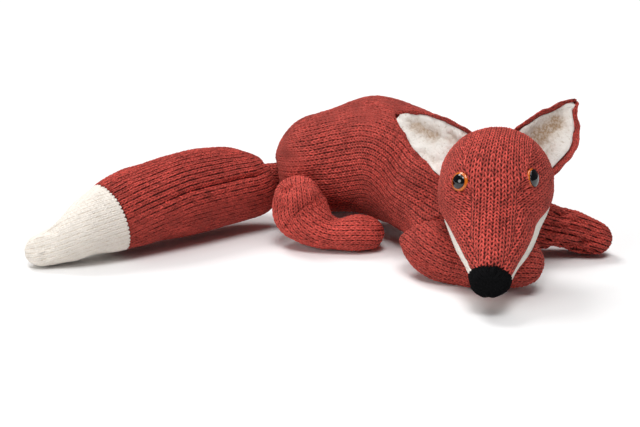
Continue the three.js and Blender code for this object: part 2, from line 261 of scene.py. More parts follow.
def paper_recipe(tree):
    """White paper."""
    bounced = add_node(tree, "ShaderNodeLightPath", output="Is Diffuse Ray")
    return {"Base Color": blend_colours(tree, bounced, PAPER_SEEN, PAPER_BOUNCED),
            "Roughness": 0.7, "Specular IOR Level": 0.2}


floor.data.materials.append(material_of("paper", paper_recipe))
print("light:", len(SOFT_LAMPS), "soft lamps and a world of", SKY_LEVEL)

# %% [markdown]
# ## The knitted yarn
#
# Plain knitting is made of columns, called wales, and each wale is a stack of Vs. The shape of each
# V is real geometry below. The shader adds what is finer: the loose fibres, painted shade in the
# recesses between the stitches and small changes of dye. It reads a UV map in which one unit is one
# wale across and one row along, and an attribute that gives the felting of the cloth: where it is
# high, the stitches fade and the colour is painted darker, which on the rump and under the tail is
# painted shade. The effect is one node group, so that each yarn gets it alike.

# %% Yarn node group
STITCH_MAP = "stitches"
# This attribute holds the felting of the knitting, which also paints shade, and on the ear linings
# the painted shade of their folds.
FELT_AND_SHADE_MAP = "felt_and_shade"
# Shares of painted shade: in the gaps between wales, in the holes, between rows and at the sides of
# each strand.
GAP_SHADE, HOLE_SHADE, ROW_SHADE, LEG_SHADE = 0.14, 0.85, 0.42, 0.10
# Felting paints the colour darker by this share, as shade on the rump and under the tail.
FELT_SHADE = 0.46
DYE_CHANGE, STITCH_CHANGE = 0.12, 0.50
# The hollow colour is painted into the recesses between the stitches, as shade.
YARN_INPUTS = [
    ("Yarn", "NodeSocketColor", (0.5, 0.1, 0.08, 1)),
    ("HollowShade", "NodeSocketColor", (0.1, 0.01, 0.01, 1)),
    ("Bloom", "NodeSocketColor", (0.8, 0.4, 0.35, 1)),
    ("Heather", "NodeSocketFloat", 0.2),
    ("Dash", "NodeSocketFloat", 1.4),
    ("Depth", "NodeSocketFloat", 1.0),
    ("Speck", "NodeSocketFloat", 1.0),
    ("Dots", "NodeSocketFloat", 0.0),
]


def stitch_holes(tree, given, across, along, row_round):
    """The gaps between wales, and the holes in them, as masks for painted shade: long dashes, or a
    dot at each crossing.
    """
    from_middle = abs(calc(tree, "FRACT", across) - 0.5)
    gap = ramp(from_middle, 0.27, 0.48)
    middle = ramp(from_middle, 0.04, 0.20, 0.7, 0.0)
    spot = add_node(tree, "ShaderNodeCombineXYZ", {
        0: calc(tree, "ROUND", across) * 7.31, 1: along / given["Dash"]})
    dash = gap * ramp(noise(spot, 1.0, 1.0), 0.36, 0.60)
    dot = calc(tree, "MAXIMUM", gap, middle) * ramp(row_round, 0.45, 0.95, 1.25, 0.0)
    return gap, dot * given["Dots"] + dash * (1.0 - given["Dots"])


def uneven_tone(tree, given, across, along, fresh, felt_and_shade):
    """A grey that is a little different in each stitch and each patch of dye, and painted darker
    where the felting is high, as shade on the rump and under the tail.
    """
    stitch = add_node(tree, "ShaderNodeCombineXYZ", {
        0: calc(tree, "FLOOR", across * 2.0), 1: calc(tree, "FLOOR", along)})
    luck = add_node(tree, "ShaderNodeTexWhiteNoise", {"Vector": stitch}, output="Value",
                    noise_dimensions="2D")
    dye = ramp(noise(object_place(tree), 60.0, 3.0), 0.25, 0.75, -DYE_CHANGE, DYE_CHANGE)
    change = dye + (luck - 0.5) * STITCH_CHANGE * fresh - felt_and_shade * FELT_SHADE
    shade = change * given["Speck"] + 1.0
    return add_node(tree, "ShaderNodeCombineXYZ", {0: shade, 1: shade, 2: shade})


def build_yarn_group():
    """Colour, height and roughness of a yarn that is knitted in plain rows."""
    tree = bpy.data.node_groups.new("knitted_yarn", "ShaderNodeTree")
    for name, kind, value in YARN_INPUTS:
        socket = tree.interface.new_socket(name=name, in_out="INPUT", socket_type=kind)
        socket.default_value = value
    for name, kind in (("Color", "NodeSocketColor"), ("Height", "NodeSocketFloat"),
                       ("Roughness", "NodeSocketFloat")):
        tree.interface.new_socket(name=name, in_out="OUTPUT", socket_type=kind)
    inside = tree.nodes.new("NodeGroupInput")
    outside = tree.nodes.new("NodeGroupOutput")
    given = {name: Signal(tree, inside.outputs[name]) for name, _, _ in YARN_INPUTS}
    felt_and_shade = add_node(tree, "ShaderNodeAttribute", output="Fac", attribute_name=FELT_AND_SHADE_MAP)
    fresh = (1.0 - felt_and_shade) * given["Depth"]
    map_place = add_node(tree, "ShaderNodeUVMap", uv_map=STITCH_MAP)
    across, along = (add_node(tree, "ShaderNodeSeparateXYZ", {0: map_place}, output=axis)
                     for axis in (0, 1))
    leg_round = calc(tree, "SINE", calc(tree, "FRACT", across * 2.0) * math.pi)
    row_round = calc(tree, "SINE", calc(tree, "FRACT", along) * math.pi)
    fibre = noise(object_place(tree), 2300.0, 3.0, 0.7)
    tuft = noise(object_place(tree), 750.0, 3.0, 0.6)

    gap, hole = stitch_holes(tree, given, across, along, row_round)
    # Painted shade in the recesses between the stitches, mixed with random tufts; it blends the
    # yarn towards its hollow colour.
    dark = (gap * GAP_SHADE + hole * HOLE_SHADE + (1.0 - row_round ** 0.5) * ROW_SHADE
            + (1.0 - leg_round) * LEG_SHADE) * fresh
    dark = calc(tree, "ADD", dark, (tuft - 0.5) * 2.6 * given["Speck"], clamp=True)
    colour = blend_colours(tree, dark, given["Yarn"], given["HollowShade"])
    flecks = ramp(fibre, 0.48, 0.70) * given["Heather"] * (1.0 - dark)
    colour = blend_colours(tree, flecks, colour, given["Bloom"])
    tone = uneven_tone(tree, given, across, along, fresh, felt_and_shade)
    results = {"Color": blend_colours(tree, 1.0, colour, tone, mode="MULTIPLY"),
               "Height": leg_round ** 0.6 * fresh - dark * 0.9 + fibre * 0.8 + tuft * 0.7,
               "Roughness": ramp(fibre, 0.3, 0.7, 0.78, 0.98)}
    for name, signal in results.items():
        feed(tree, outside.inputs[name], signal)
    return tree


yarn_group = build_yarn_group()


# %% Yarn materials
def yarn_material(name, yarn, hollow, bloom, heather, dash=1.5, depth=1.0, speck=1.0, dots=0.0,
                  sheen=0.2, specular=0.2):
    """One colour of knitting yarn. Its hollow colour is painted into the recesses between the
    stitches, as shade.
    """
    def recipe(tree):
        knitted = tree.nodes.new("ShaderNodeGroup")
        knitted.node_tree = yarn_group
        for label, value in (
                ("Yarn", (*yarn, 1)), ("HollowShade", (*hollow, 1)), ("Bloom", (*bloom, 1)),
                ("Heather", heather), ("Dash", dash), ("Depth", depth), ("Speck", speck),
                ("Dots", dots)):
            knitted.inputs[label].default_value = value
        colour, height, rough = (Signal(tree, knitted.outputs[label])
                                 for label in ("Color", "Height", "Roughness"))
        return {"Base Color": colour, "Roughness": rough, "Normal": relief(height, 0.0005),
                "Specular IOR Level": specular, "Sheen Weight": sheen, "Sheen Roughness": 0.45,
                "Sheen Tint": (*bloom, 1)}
    return material_of(name, recipe)


def red(name, yarn, heather, dash, depth, dots):
    """A red yarn. All have the same painted shade in their hollows and the same pale bloom."""
    return yarn_material(name, yarn, (0.06, 0.006, 0.005), (0.88, 0.32, 0.26), heather, dash=dash,
                         depth=depth, dots=dots)


# The second and third reds are the first one painted lighter and darker: lit copies for the face,
# the ears and the hind legs, and a shaded copy for the right foreleg under the chin.
RED, RED_LIT, RED_SHADED = (0.60, 0.066, 0.050), (0.68, 0.076, 0.058), (0.52, 0.057, 0.043)
red_yarn = red("red_yarn", RED, 0.65, 0.9, 1.15, 0.5)
red_fine_lit_yarn = red("red_fine_lit_yarn", RED_LIT, 0.5, 0.8, 1.2, 0.8)
red_lit_leg_yarn = red("red_lit_leg_yarn", RED_LIT, 0.6, 1.0, 0.85, 0.5)
red_shaded_fore_yarn = red("red_shaded_fore_yarn", RED_SHADED, 0.5, 1.0, 0.95, 0.5)
red_slack_yarn = red("red_slack_yarn", RED, 0.4, 2.2, 1.2, 0.15)
cream_yarn = yarn_material("cream_yarn", (0.99, 0.92, 0.84), (0.74, 0.60, 0.45),
                           (1.0, 0.98, 0.94), 0.3, depth=0.35, speck=0.2)
black_yarn = yarn_material("black_yarn", (0.005, 0.005, 0.0055), (0.002, 0.002, 0.002),
                           (0.03, 0.03, 0.033), 0.25, depth=0.5, sheen=0.0, specular=0.05)
print("yarns:", [material.name for material in bpy.data.materials if "yarn" in material.name])

# %% [markdown]
# ## From a spine to a stuffed tube
#
# Each limb starts as a spine: a few listed stations with a radius each. A smooth curve through
# them is wrapped in rings, with a dome at each end. The result is a small net of points, the cage,
# with rows along the limb and columns around it. The knitting later runs over this net.


# %% Smooth curve through stations
def through(stations, count):
    """Points and radii on a smooth curve through the stations, evenly spaced along it."""
    stations = np.array(stations, float)
    knots = lengths_along(stations[:, :3])
    steps = np.diff(knots)
    last = len(knots) - 1
    system = np.eye(last + 1)
    right = np.zeros_like(stations)
    for i in range(1, last):
        before, after = steps[i - 1], steps[i]
        system[i, i - 1:i + 2] = before, 2 * (before + after), after
        right[i] = 6 * ((stations[i + 1] - stations[i]) / after
                        - (stations[i] - stations[i - 1]) / before)
    bend = np.linalg.solve(system, right)
    at = np.linspace(0, knots[-1], count)
    cell = np.clip(np.searchsorted(knots, at, side="right") - 1, 0, last - 1)
    width = steps[cell][:, None]
    back = (at - knots[cell])[:, None]
    front = width - back
    return (bend[cell] * front ** 3 + bend[cell + 1] * back ** 3) / (6 * width) \
        + (stations[cell] / width - bend[cell] * width / 6) * front \
        + (stations[cell + 1] / width - bend[cell + 1] * width / 6) * back


# %% Tube cage
CAGE_STEP = 4.0
CAGE_SIDES = 56
DENSE = 400


def cage_of(net, length, middle):
    """A cage, with its spine, and the place and the girth of each of its rings."""
    girth = np.linalg.norm(np.roll(net, -1, axis=1) - net, axis=2).sum(axis=1)
    return {"net": net, "length": length, "middle": middle,
            "marks": np.linspace(0, length, len(net)), "girth": girth}


def tube_cage(stations, level, start_depth=1.0, end_depth=1.0, under=1.0, heading=12.0):
    """Rings of points round a spine, with a dome at each end. Column 0 is on the side of level."""
    path = through(stations, DENSE)
    centre, radius = path[:, :3], path[:, 3]
    reach = lengths_along(centre)
    length = reach[-1]
    first_way, last_way = unit(centre[8] - centre[0]), unit(centre[-1] - centre[-9])

    def at(distance):
        """The spine, which goes straight on past its ends."""
        return rows_at(distance, reach, centre) + np.minimum(distance, 0)[:, None] * first_way \
            + np.maximum(distance - length, 0)[:, None] * last_way

    turn = np.linspace(0, math.pi / 2, 40)
    first, last = radius[0], radius[-1]
    places = np.concatenate([-first * start_depth * np.cos(turn[:-1]), reach,
                             length + last * end_depth * np.sin(turn[1:])])
    radii = np.concatenate([first * np.sin(turn[:-1]), radius, last * np.cos(turn[1:])])
    meridian = lengths_along(np.stack([places, radii], axis=1))
    marks = np.linspace(0, meridian[-1], int(round(meridian[-1] / CAGE_STEP)) + 1)
    place, ring = np.interp(marks, meridian, places), np.interp(marks, meridian, radii)
    inner = np.clip(place, 0, length)
    way = unit(at(inner + heading) - at(inner - heading))
    level = np.array(level, float)
    up = unit(level - (way @ level)[:, None] * way)
    side = np.cross(way, up)
    angle = np.linspace(0, 2 * math.pi, CAGE_SIDES, endpoint=False)
    rise = np.where(np.cos(angle) < 0, under, 1.0) * np.cos(angle)
    middle = at(place)
    net = middle[:, None] + ring[:, None, None] * (
        rise[:, None] * up[:, None] + np.sin(angle)[:, None] * side[:, None])
    return cage_of(net, meridian[-1], middle)


def evened(cage, first, last, reach):
    """Evens out the bends of a cage's wales between two places, over so many rows."""
    net = cage["net"]
    steps = np.arange(-3 * reach, 3 * reach + 1)
    bell = np.exp(-0.5 * (steps / reach) ** 2)
    picked = np.clip(np.arange(len(net))[:, None] + steps, 0, len(net) - 1)
    soft = (net[picked] * (bell / bell.sum())[None, :, None, None]).sum(axis=1)
    share = fade(cage["marks"], first, first + 30) * fade(cage["marks"], last, last - 30)
    return cage_of(net + share[:, None, None] * (soft - net), cage["length"], cage["middle"])


# %% Smooth surface through a cage
def cubic(s):
    """The weights of the four points round a place between the middle two."""
    return (-0.5 * s + s ** 2 - 0.5 * s ** 3, 1 - 2.5 * s ** 2 + 1.5 * s ** 3,
            0.5 * s + 2 * s ** 2 - 1.5 * s ** 3, -0.5 * s ** 2 + 0.5 * s ** 3)


def on_cage(cage, along, around):
    """Points on the cage's smooth surface, at millimetres along and shares of the way round."""
    net = cage["net"]
    rows, sides, _ = net.shape
    row = np.clip(along / cage["length"], 0, 1) * (rows - 1)
    side = (around % 1.0) * sides
    row_low = np.minimum(row.astype(int), rows - 2)
    side_low = side.astype(int)
    row_weights, side_weights = cubic(row - row_low), cubic(side - side_low)
    total = np.zeros((len(row), 3))
    for k, row_weight in enumerate(row_weights):
        picked_row = np.clip(row_low + k - 1, 0, rows - 1)
        for n, side_weight in enumerate(side_weights):
            picked_side = (side_low + n - 1) % sides
            total += (row_weight * side_weight)[:, None] * net[picked_row, picked_side]
    return total


# %% [markdown]
# ## Loose filling
#
# A tube that is stuffed by hand is never quite round. The filling lies in soft lumps, and where a
# thread gathers the cloth, small folds run out of the knot. Sums of sine waves in every direction
# give the lumps. The same seed gives the same lumps each time.


# %% Lumps, dents and gathers
def ripple(points, size, seed):
    """A smooth uneven field, from about -1 to 1, with lumps of roughly this size."""
    dice_box = np.random.default_rng(seed)
    ways = unit(dice_box.normal(size=(9, 3)))
    turns = 2 * math.pi / (size * dice_box.uniform(1.4, 2.6, 9))
    phases = dice_box.uniform(0, 2 * math.pi, 9)
    return np.sin(points @ (ways * turns[:, None]).T + phases).sum(axis=1) / 3.2


def dent(points, place, radius, depth, way):
    """Pushes points near a place along a way, most at the middle."""
    near = np.linalg.norm(points - np.array(place), axis=1) / radius
    return points + (depth * np.exp(-2.0 * near ** 2))[:, None] * unit(way)


def gather(points, place, outward, radius, depth, folds):
    """A knot that draws the cloth in, with folds that run out of it."""
    outward = unit(outward)
    first = unit(np.cross(outward, (0.3, 0.2, 0.9)))
    second = np.cross(outward, first)
    offset = points - np.array(place)
    along, x, y = offset @ outward, offset @ first, offset @ second
    far = np.hypot(x, y) / radius
    here = np.exp(-(along / (1.2 * radius)) ** 2)
    pit = np.exp(-(far / 0.42) ** 2)
    fold = np.exp(-far ** 2) * np.clip(far / 0.35, 0, 1) * np.cos(folds * np.arctan2(y, x))
    return points - (depth * here * (pit + 0.2 * fold))[:, None] * outward


def lumpy(big=0.9, small=0.25, seed=1):
    """A shape rule that gives a limb its lumps."""
    def shape(points, outward):
        swell = big * ripple(points, 34.0, seed) + small * ripple(points, 11.0, seed + 1)
        return points + swell[:, None] * outward
    return shape


# %% Pressed against something flat
FLOOR_GAP = 0.2


def press(points, place, way, softness=2.0):
    """Presses what would stand out beyond a plane flat, with a soft edge."""
    way = unit(way)
    over = (points - np.array(place)) @ way
    return points - ((over + np.sqrt(over ** 2 + softness ** 2)) / 2)[:, None] * way


def on_floor(points):
    """Presses what would sink into the floor flat."""
    return press(points, (0, 0, FLOOR_GAP), (0, 0, -1))


# %% [markdown]
# ## Cloth under the push of the filling
#
# A stuffed tube takes its form from cloth that is pushed outwards and held at its knots and seams.
# A cloth simulation finds that form. It runs on the coarse cage, not on the stitches, so the
# stitches keep their places: each row of the cage then goes back to the girth it was knitted to.

# %% Grid of points to mesh
def grid_mesh(name, grid):
    """A bmesh grid whose vertices are moved to a table of points, and each vertex's table place."""
    rows, columns, _ = grid.shape
    fresh = bmesh.new()
    fresh.loops.layers.uv.new(STITCH_MAP)
    bmesh.ops.create_grid(fresh, x_segments=columns - 1, y_segments=rows - 1, size=1.0,
                          calc_uvs=True)
    mesh = bpy.data.meshes.new(name)
    fresh.to_mesh(mesh)
    fresh.free()
    flat = np.empty(len(mesh.vertices) * 3, np.float32)
    mesh.vertices.foreach_get("co", flat)
    flat = flat.reshape(-1, 3)
    column = np.rint((flat[:, 0] + 1) / 2 * (columns - 1)).astype(int)
    row = np.rint((flat[:, 1] + 1) / 2 * (rows - 1)).astype(int)
    mesh.vertices.foreach_set("co", (grid[row, column] * MM).astype(np.float32).ravel())
    return mesh, row, column


# %% Cloth simulation
PUSH = 4.0
FRAMES = 20
SLACK = -0.05
MOST_MOVE = 3.0


def cloth_ball(name, net, pins, reach):
    """A cage as a closed piece of cloth that is held round some points."""
    mesh, _, _ = grid_mesh(name, np.concatenate([net, net[:, :1]], axis=1))
    work = bmesh.new()
    work.from_mesh(mesh)
    bmesh.ops.remove_doubles(work, verts=work.verts[:], dist=1e-6)
    bmesh.ops.recalc_face_normals(work, faces=work.faces[:])
    work.to_mesh(mesh)
    work.free()
    ball = bpy.data.objects.new(name, mesh)
    scene.collection.objects.link(ball)
    start = np.array([v.co for v in mesh.vertices]) / MM
    held = ball.vertex_groups.new(name="held")
    for place in pins:
        close = np.nonzero(np.linalg.norm(start - place, axis=1) < reach)[0]
        held.add([int(k) for k in close], 1.0, "REPLACE")
    cloth = ball.modifiers.new("cloth", "CLOTH")
    cloth.settings.use_pressure = True
    cloth.settings.uniform_pressure_force = PUSH
    cloth.settings.shrink_min = SLACK
    cloth.settings.vertex_group_mass = "held"
    cloth.settings.effector_weights.gravity = 0.0
    cloth.point_cache.frame_end = FRAMES
    return ball, start


def settle(name, cage, knots=(), reach=14.0):
    """Blows a cage up as cloth, held at its poles and knots, and lets it back to its girth."""
    net = cage["net"]
    ball, start = cloth_ball(name, net, (net[0, 0], net[-1, 0], *map(np.array, knots)), reach)
    for number in range(1, FRAMES + 1):
        scene.frame_set(number)
    grown = ball.evaluated_get(bpy.context.evaluated_depsgraph_get())
    after = np.array([v.co for v in grown.data.vertices]) / MM
    scene.frame_set(1)
    bpy.data.meshes.remove(ball.data)
    nearest = np.array([int(((start - p) ** 2).sum(axis=1).argmin()) for p in net.reshape(-1, 3)])
    move = (after - start)[nearest].reshape(net.shape)
    outward = unit(net - cage["middle"][:, None, :])
    growth = (move * outward).sum(axis=2).mean(axis=1)
    move -= growth[:, None, None] * outward
    size = np.linalg.norm(move, axis=2, keepdims=True)
    move *= np.minimum(1.0, MOST_MOVE / np.maximum(size, 1e-9))
    print(f"{name}: cloth grew {growth.mean():.2f} mm, with moves of up to {size.max():.2f} mm "
          f"held to {MOST_MOVE} mm")
    return cage_of(net + move, cage["length"], cage["middle"])


# %% [markdown]
# ## The knitting
#
# Wales keep their width, so where a tube narrows, wales end at a line of decreases, as a knitter
# makes them. Each strip between two such lines is one grid, six columns and three rows of faces to
# a stitch. The rows are slanted into Vs, and each half of a V rises as a rounded strand of yarn.
# A column that has run past the line is drawn back onto it and melts away when doubles are merged.

# %% Strips
def strip(start, end, anchor=None, held=0.0, walls=(False, False), pull=0.0, seam=1.0):
    """A strip between two shares of the way round, fixed or as functions of the place along.

    Its wales are counted from the anchor, and held is the least number of wales round the tube.
    A wall closes the strip inwards to the spine, where its edge meets a piece of another colour.
    Pull draws its edges in by so many millimetres. Seam tells how far its edges show.
    """
    def steady(value):
        return value if callable(value) else (lambda m: np.full_like(m, value, dtype=float))
    middle = (start + end) / 2 if anchor is None else anchor
    return {"edges": [steady(start), steady(end), steady(middle)], "walls": walls,
            "held": steady(held), "pull": steady(pull), "seam": steady(seam)}


# %% Places of the stitches
ACROSS = 6
ALONG = 3
ROW_SHARE = 0.76
SLANT = 0.95


def lay_stitches(cage, cut, rows, wale):
    """A grid of columns by lines for one strip, and where each of its points lies on the cage."""
    first_row, last_row = rows
    count = max(1, int(round((last_row - first_row) / (wale * ROW_SHARE))))
    row_size = (last_row - first_row) / count
    marks = np.linspace(first_row, last_row, 200)
    starts, ends, anchors = (np.broadcast_to(f(marks), marks.shape) for f in cut["edges"])
    girth = np.interp(marks, cage["marks"], cage["girth"])
    held = np.maximum(girth / wale, cut["held"](marks))
    left = int(math.ceil(((anchors - starts) * held).max())) * ACROSS
    right = int(math.ceil(((ends - anchors) * held).max())) * ACROSS
    columns, lines = np.arange(-left, right + 1), np.arange(0, count * ALONG + 1)
    column, line = (a.ravel() for a in np.meshgrid(columns, lines))
    phase = (column % ACROSS) / ACROSS
    slope = SLANT * row_size * (abs(2 * phase - 1) - 0.5)
    level = first_row + line / ALONG * row_size

    def spread(place):
        """Edges of the strip, wales round the tube, and the share of the way round."""
        start, end, anchor, number = (np.interp(place, marks, v)
                                      for v in (starts, ends, anchors, held))
        return start, end, number, anchor + column / ACROSS / np.maximum(number, 1e-6)

    start, end, number, share = spread(level)
    over = (share <= start) | (share >= end)
    place = np.where(over, level, np.clip(level + slope, first_row, last_row))
    start, end, number, share = spread(place)
    edge = np.minimum(share - start, end - share) * number
    over |= edge <= 0
    place = np.where(over, level, place)
    start, end, number, share = spread(place)
    return {"column": column, "line": line, "level": level, "place": place, "number": number,
            "share": np.clip(share, start, end), "edge": edge, "over": over,
            "table": (len(lines), len(columns), 3)}


# %% Surface under the stitches
NUDGE = 0.4


def spine(cage, along):
    """Points of the line in the middle of a cage."""
    return rows_at(along, cage["marks"], cage["middle"])


def surface(cage, shape, along, share):
    """Points of the cloth, before any stitch rises from it."""
    points = on_cage(cage, along, share)
    return shape(points, unit(points - spine(cage, along)))


def bearings(cage, shape, place, share):
    """Points of the cloth, their outward normals, the stretch along and the girth there."""
    points = surface(cage, shape, place, share)
    ring = np.interp(place, cage["marks"], cage["girth"])
    turn = NUDGE / np.maximum(ring, 8.0)
    forward = surface(cage, shape, np.minimum(place + NUDGE, cage["length"]), share) \
        - surface(cage, shape, np.maximum(place - NUDGE, 0), share)
    sideways = surface(cage, shape, place, share + turn) \
        - surface(cage, shape, place, share - turn)
    normal = np.cross(forward, sideways)
    size = np.linalg.norm(normal, axis=1, keepdims=True)
    outward = unit(points - spine(cage, place))
    normal = np.where(size > 1e-6, normal / np.maximum(size, 1e-9), outward)
    normal *= np.where((normal * outward).sum(axis=1, keepdims=True) < 0, -1, 1)
    return points, normal, np.linalg.norm(forward, axis=1) / (2 * NUDGE), ring


# %% Relief of the stitches
RISE = np.array([[0.00, 0.42, 0.60, 0.20, 0.60, 0.42],
                 [0.50, 0.88, 1.00, 0.80, 1.00, 0.88],
                 [0.38, 0.76, 0.90, 0.60, 0.90, 0.76]])
MEAN_RISE = 0.72
STRAND_SHARE = 0.24
INSET_SHARE = 0.75
SEAM_DIP = 0.35
SEAM_REACH, PULL_REACH = 0.9, 2.6


def dice(*keys):
    """The same scattered number from -1 to 1 for the same keys."""
    factors = (12.9898, 78.233, 37.719)
    mixed = sum(np.asarray(key, float) * factor for key, factor in zip(keys, factors))
    return 2 * ((np.sin(mixed) * 43758.5453) % 1.0) - 1


def stitch_lift(spots, cut, felt, wale, seed, ribbed):
    """How far each point stands above the cloth before stretching, and how its edges lie."""
    column, line = spots["column"], spots["line"]
    row = np.floor(line / ALONG)
    loose = 1 + 0.18 * dice(np.floor(column / ACROSS * 2), row, seed)
    gap_loose = (1 - ribbed) * (0.9 + 0.7 * dice(np.rint(column / ACROSS), row, seed))
    rise = RISE[line % ALONG, column % ACROSS] * np.where(column % ACROSS == 0, gap_loose, loose)
    rise = rise + (MEAN_RISE - rise) * 0.75 * felt
    at_edge = np.where(spots["over"], 1.0, 1 - np.clip(spots["edge"] / SEAM_REACH, 0, 1)) \
        * cut["seam"](spots["place"])
    from_edge = np.where(spots["over"], 0.0, np.maximum(spots["edge"], 0) * wale)
    return (rise - INSET_SHARE) * wale * STRAND_SHARE, at_edge, from_edge


def knit_strip(cage, cut, rows, wale, shape, felt_and_shade, seed, ribbed):
    """Points, stitch coordinates and felting of one strip, as a grid of columns by rows."""
    spots = lay_stitches(cage, cut, rows, wale)
    place = spots["place"]
    points, normal, stretch, ring = bearings(cage, shape, place, spots["share"])
    felt = np.clip(felt_and_shade(points, place), 0, 1)
    lift, at_edge, from_edge = stitch_lift(spots, cut, felt, wale, seed, ribbed)
    squeeze = np.clip(ring / np.maximum(spots["number"], 1e-6) / wale, 0.3, 1.0)
    lift = lift * np.clip(stretch, 0.3, 1.1) * squeeze
    dip = -SEAM_DIP - INSET_SHARE * wale * STRAND_SHARE
    pull = cut["pull"](place)
    lift = lift * (1 - at_edge) + dip * at_edge - pull * np.exp(-(from_edge / PULL_REACH) ** 2)
    felt = felt - 0.33 * pull ** 2 * np.exp(-(from_edge / 1.1) ** 2)
    points = points + normal * lift[:, None]
    points[:, 2] = np.maximum(points[:, 2], FLOOR_GAP)

    grid = points.reshape(spots["table"])
    stitch = np.stack([spots["column"] / ACROSS, spots["line"] / ALONG, felt], axis=1)
    stitch = stitch.reshape(spots["table"])
    core = spine(cage, spots["level"]).reshape(spots["table"])[:, :1]
    wall_first, wall_last = cut["walls"]
    if wall_first:
        grid = np.concatenate([core, grid], axis=1)
        stitch = np.concatenate([stitch[:, :1], stitch], axis=1)
    if wall_last:
        grid = np.concatenate([grid, core], axis=1)
        stitch = np.concatenate([stitch, stitch[:, -1:]], axis=1)
    return grid, stitch


# %% Grid to piece
def cap_rows(grid, stitch, at_start, at_end, core_start, core_end):
    """Closes an open end with one more row, drawn in to the spine."""
    if at_start:
        grid = np.concatenate([np.broadcast_to(core_start, grid[:1].shape), grid])
        stitch = np.concatenate([stitch[:1], stitch])
    if at_end:
        grid = np.concatenate([grid, np.broadcast_to(core_end, grid[:1].shape)])
        stitch = np.concatenate([stitch, stitch[-1:]])
    return grid, stitch


def add_grid(work, grid, stitch):
    """Adds a grid of points to a bmesh, with its stitch map and its felting, which on the ear
    linings is the painted shade of their folds.
    """
    mesh, row, column = grid_mesh("panel", grid)
    corner = np.empty(len(mesh.loops), np.int32)
    mesh.loops.foreach_get("vertex_index", corner)
    mesh.uv_layers[STITCH_MAP].data.foreach_set(
        "uv", stitch[row[corner], column[corner], :2].astype(np.float32).ravel())
    felt = mesh.attributes.new(FELT_AND_SHADE_MAP, "FLOAT", "POINT")
    felt.data.foreach_set("value", stitch[row, column, 2].astype(np.float32))
    work.from_mesh(mesh)
    bpy.data.meshes.remove(mesh)


def finish_mesh(name, work, material, weld=2e-6):
    """Merges doubles, turns the faces outwards and makes the object."""
    bmesh.ops.remove_doubles(work, verts=work.verts[:], dist=weld)
    bmesh.ops.dissolve_degenerate(work, edges=work.edges[:], dist=weld)
    bmesh.ops.recalc_face_normals(work, faces=work.faces[:])
    for face in work.faces:
        face.smooth = True
    open_edges = sum(len(edge.link_faces) != 2 for edge in work.edges)
    mesh = bpy.data.meshes.new(name)
    work.to_mesh(mesh)
    work.free()
    mesh.materials.append(material)
    piece = bpy.data.objects.new(name, mesh)
    scene.collection.objects.link(piece)
    triangles = sum(len(face.vertices) - 2 for face in mesh.polygons)
    print(f"{name}: {triangles} triangles, {open_edges} open edges")
    return piece


def knit(name, cage, material, strips, wale, rows=None, shape=lambda p, out: p,
         felt_and_shade=lambda p, place: 0.0 * place, seed=1, ribbed=0.0):
    """Knits strips over a cage and returns the piece."""
    rows = rows or (0.0, cage["length"])
    work = bmesh.new()
    core = spine(cage, np.array(rows))
    for cut in strips:
        grid, stitch = knit_strip(cage, cut, rows, wale, shape, felt_and_shade, seed, ribbed)
        grid, stitch = cap_rows(grid, stitch, rows[0] > 0.0, rows[1] < cage["length"], *core)
        add_grid(work, grid, stitch)
    return finish_mesh(name, work, material)


# %% Bodies and nodes
def stands_for(nodes):
    """A stuffed knitted piece takes the place of its CAD nodes."""
    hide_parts(*nodes)


def dress(piece, body, slot, *nodes, fill=0.8):
    """A stuffed knitted piece that rides a body."""
    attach(piece, body)
    stands_for(nodes)


def dress_across(piece, bodies, start, end, slot, *nodes, fill=0.8):
    """A stuffed knitted piece that lies across two bodies: its transform is baked in place and it
    rides neither.
    """
    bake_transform(piece)
    stands_for(nodes)


# %% [markdown]
# ## Body
#
# The body is one wide tube, laid in a curve from the rump, at the left, down to the neck under the
# head. Its wales run along the back and the side. The lines of decreases are on the spine and under
# the belly, where the real one has them too, so none crosses the side that shows. The rump and the
# top of the back are brushed, so their stitches fade and their colour is painted darker, which on
# the rump is painted shade. Two hollows and two swells take the tail's root, the thigh and the
# foreleg that lie against it.

# %% Body
UP = (0, 0, 1)
BODY_WALE = 5.0
BODY_STATIONS = [
    (-95, 30, 65.5, 46.2), (-71, 32, 69.1, 51.5), (-48, 29, 71.4, 56.4),
    (-22, 18.5, 66, 56), (0, 0, 52, 52.4), (17, -44, 48.05, 46.03), (24, -62, 45.02, 40.99),
]
BODY_DENTS = [
    ((-106, -2, 92), 24, 2.4, (0.3, 0.5, -0.8)),
    ((-108, -14, 60), 17, 4.0, (0.3, 0.94, 0.1)),
    ((-14, -73, 61), 22, 4.5, (0.76, 0.58, -0.25)),
    ((-22, -76, 32), 22, 10.0, (-0.75, -0.55, -0.3)),
]
BODY_KNOTS = [(-14, -90, 42), (66, -38, 50), (-118, -22, 44)]
HALVES = [strip(0.0, 0.5), strip(0.5, 1.0)]


def body_shape(points, outward):
    """Lumps, and where the back, the thigh and the foreleg press."""
    points = lumpy(0.8, 0.22, seed=11)(points, outward)
    for place, radius, depth, way in BODY_DENTS:
        points = dent(points, place, radius, depth, way)
    return on_floor(points)


def body_felt_and_shade(points, place):
    """How far the stitches fade and the colour is painted darker: mostly on the rump, where it is
    painted shade, and on top of the back.
    """
    brushed = 0.75 * np.maximum(fade(place, 62, 36), fade(points[:, 2], 92, 118))
    return brushed * (0.9 + 0.3 * ripple(points, 12.0, 5) + 0.3 * ripple(points, 5.0, 6))


body_tube = evened(tube_cage(BODY_STATIONS, UP, heading=30.0), 110, 285, 5)
body_cage = settle("body_cage", body_tube, knots=BODY_KNOTS, reach=9.0)
body = knit("fox_body", body_cage, red_yarn, HALVES, BODY_WALE, shape=body_shape,
            felt_and_shade=body_felt_and_shade, seed=1)
dress(body, "torso", "red_knit", "body_knit", "body_stuffing", fill=0.85)

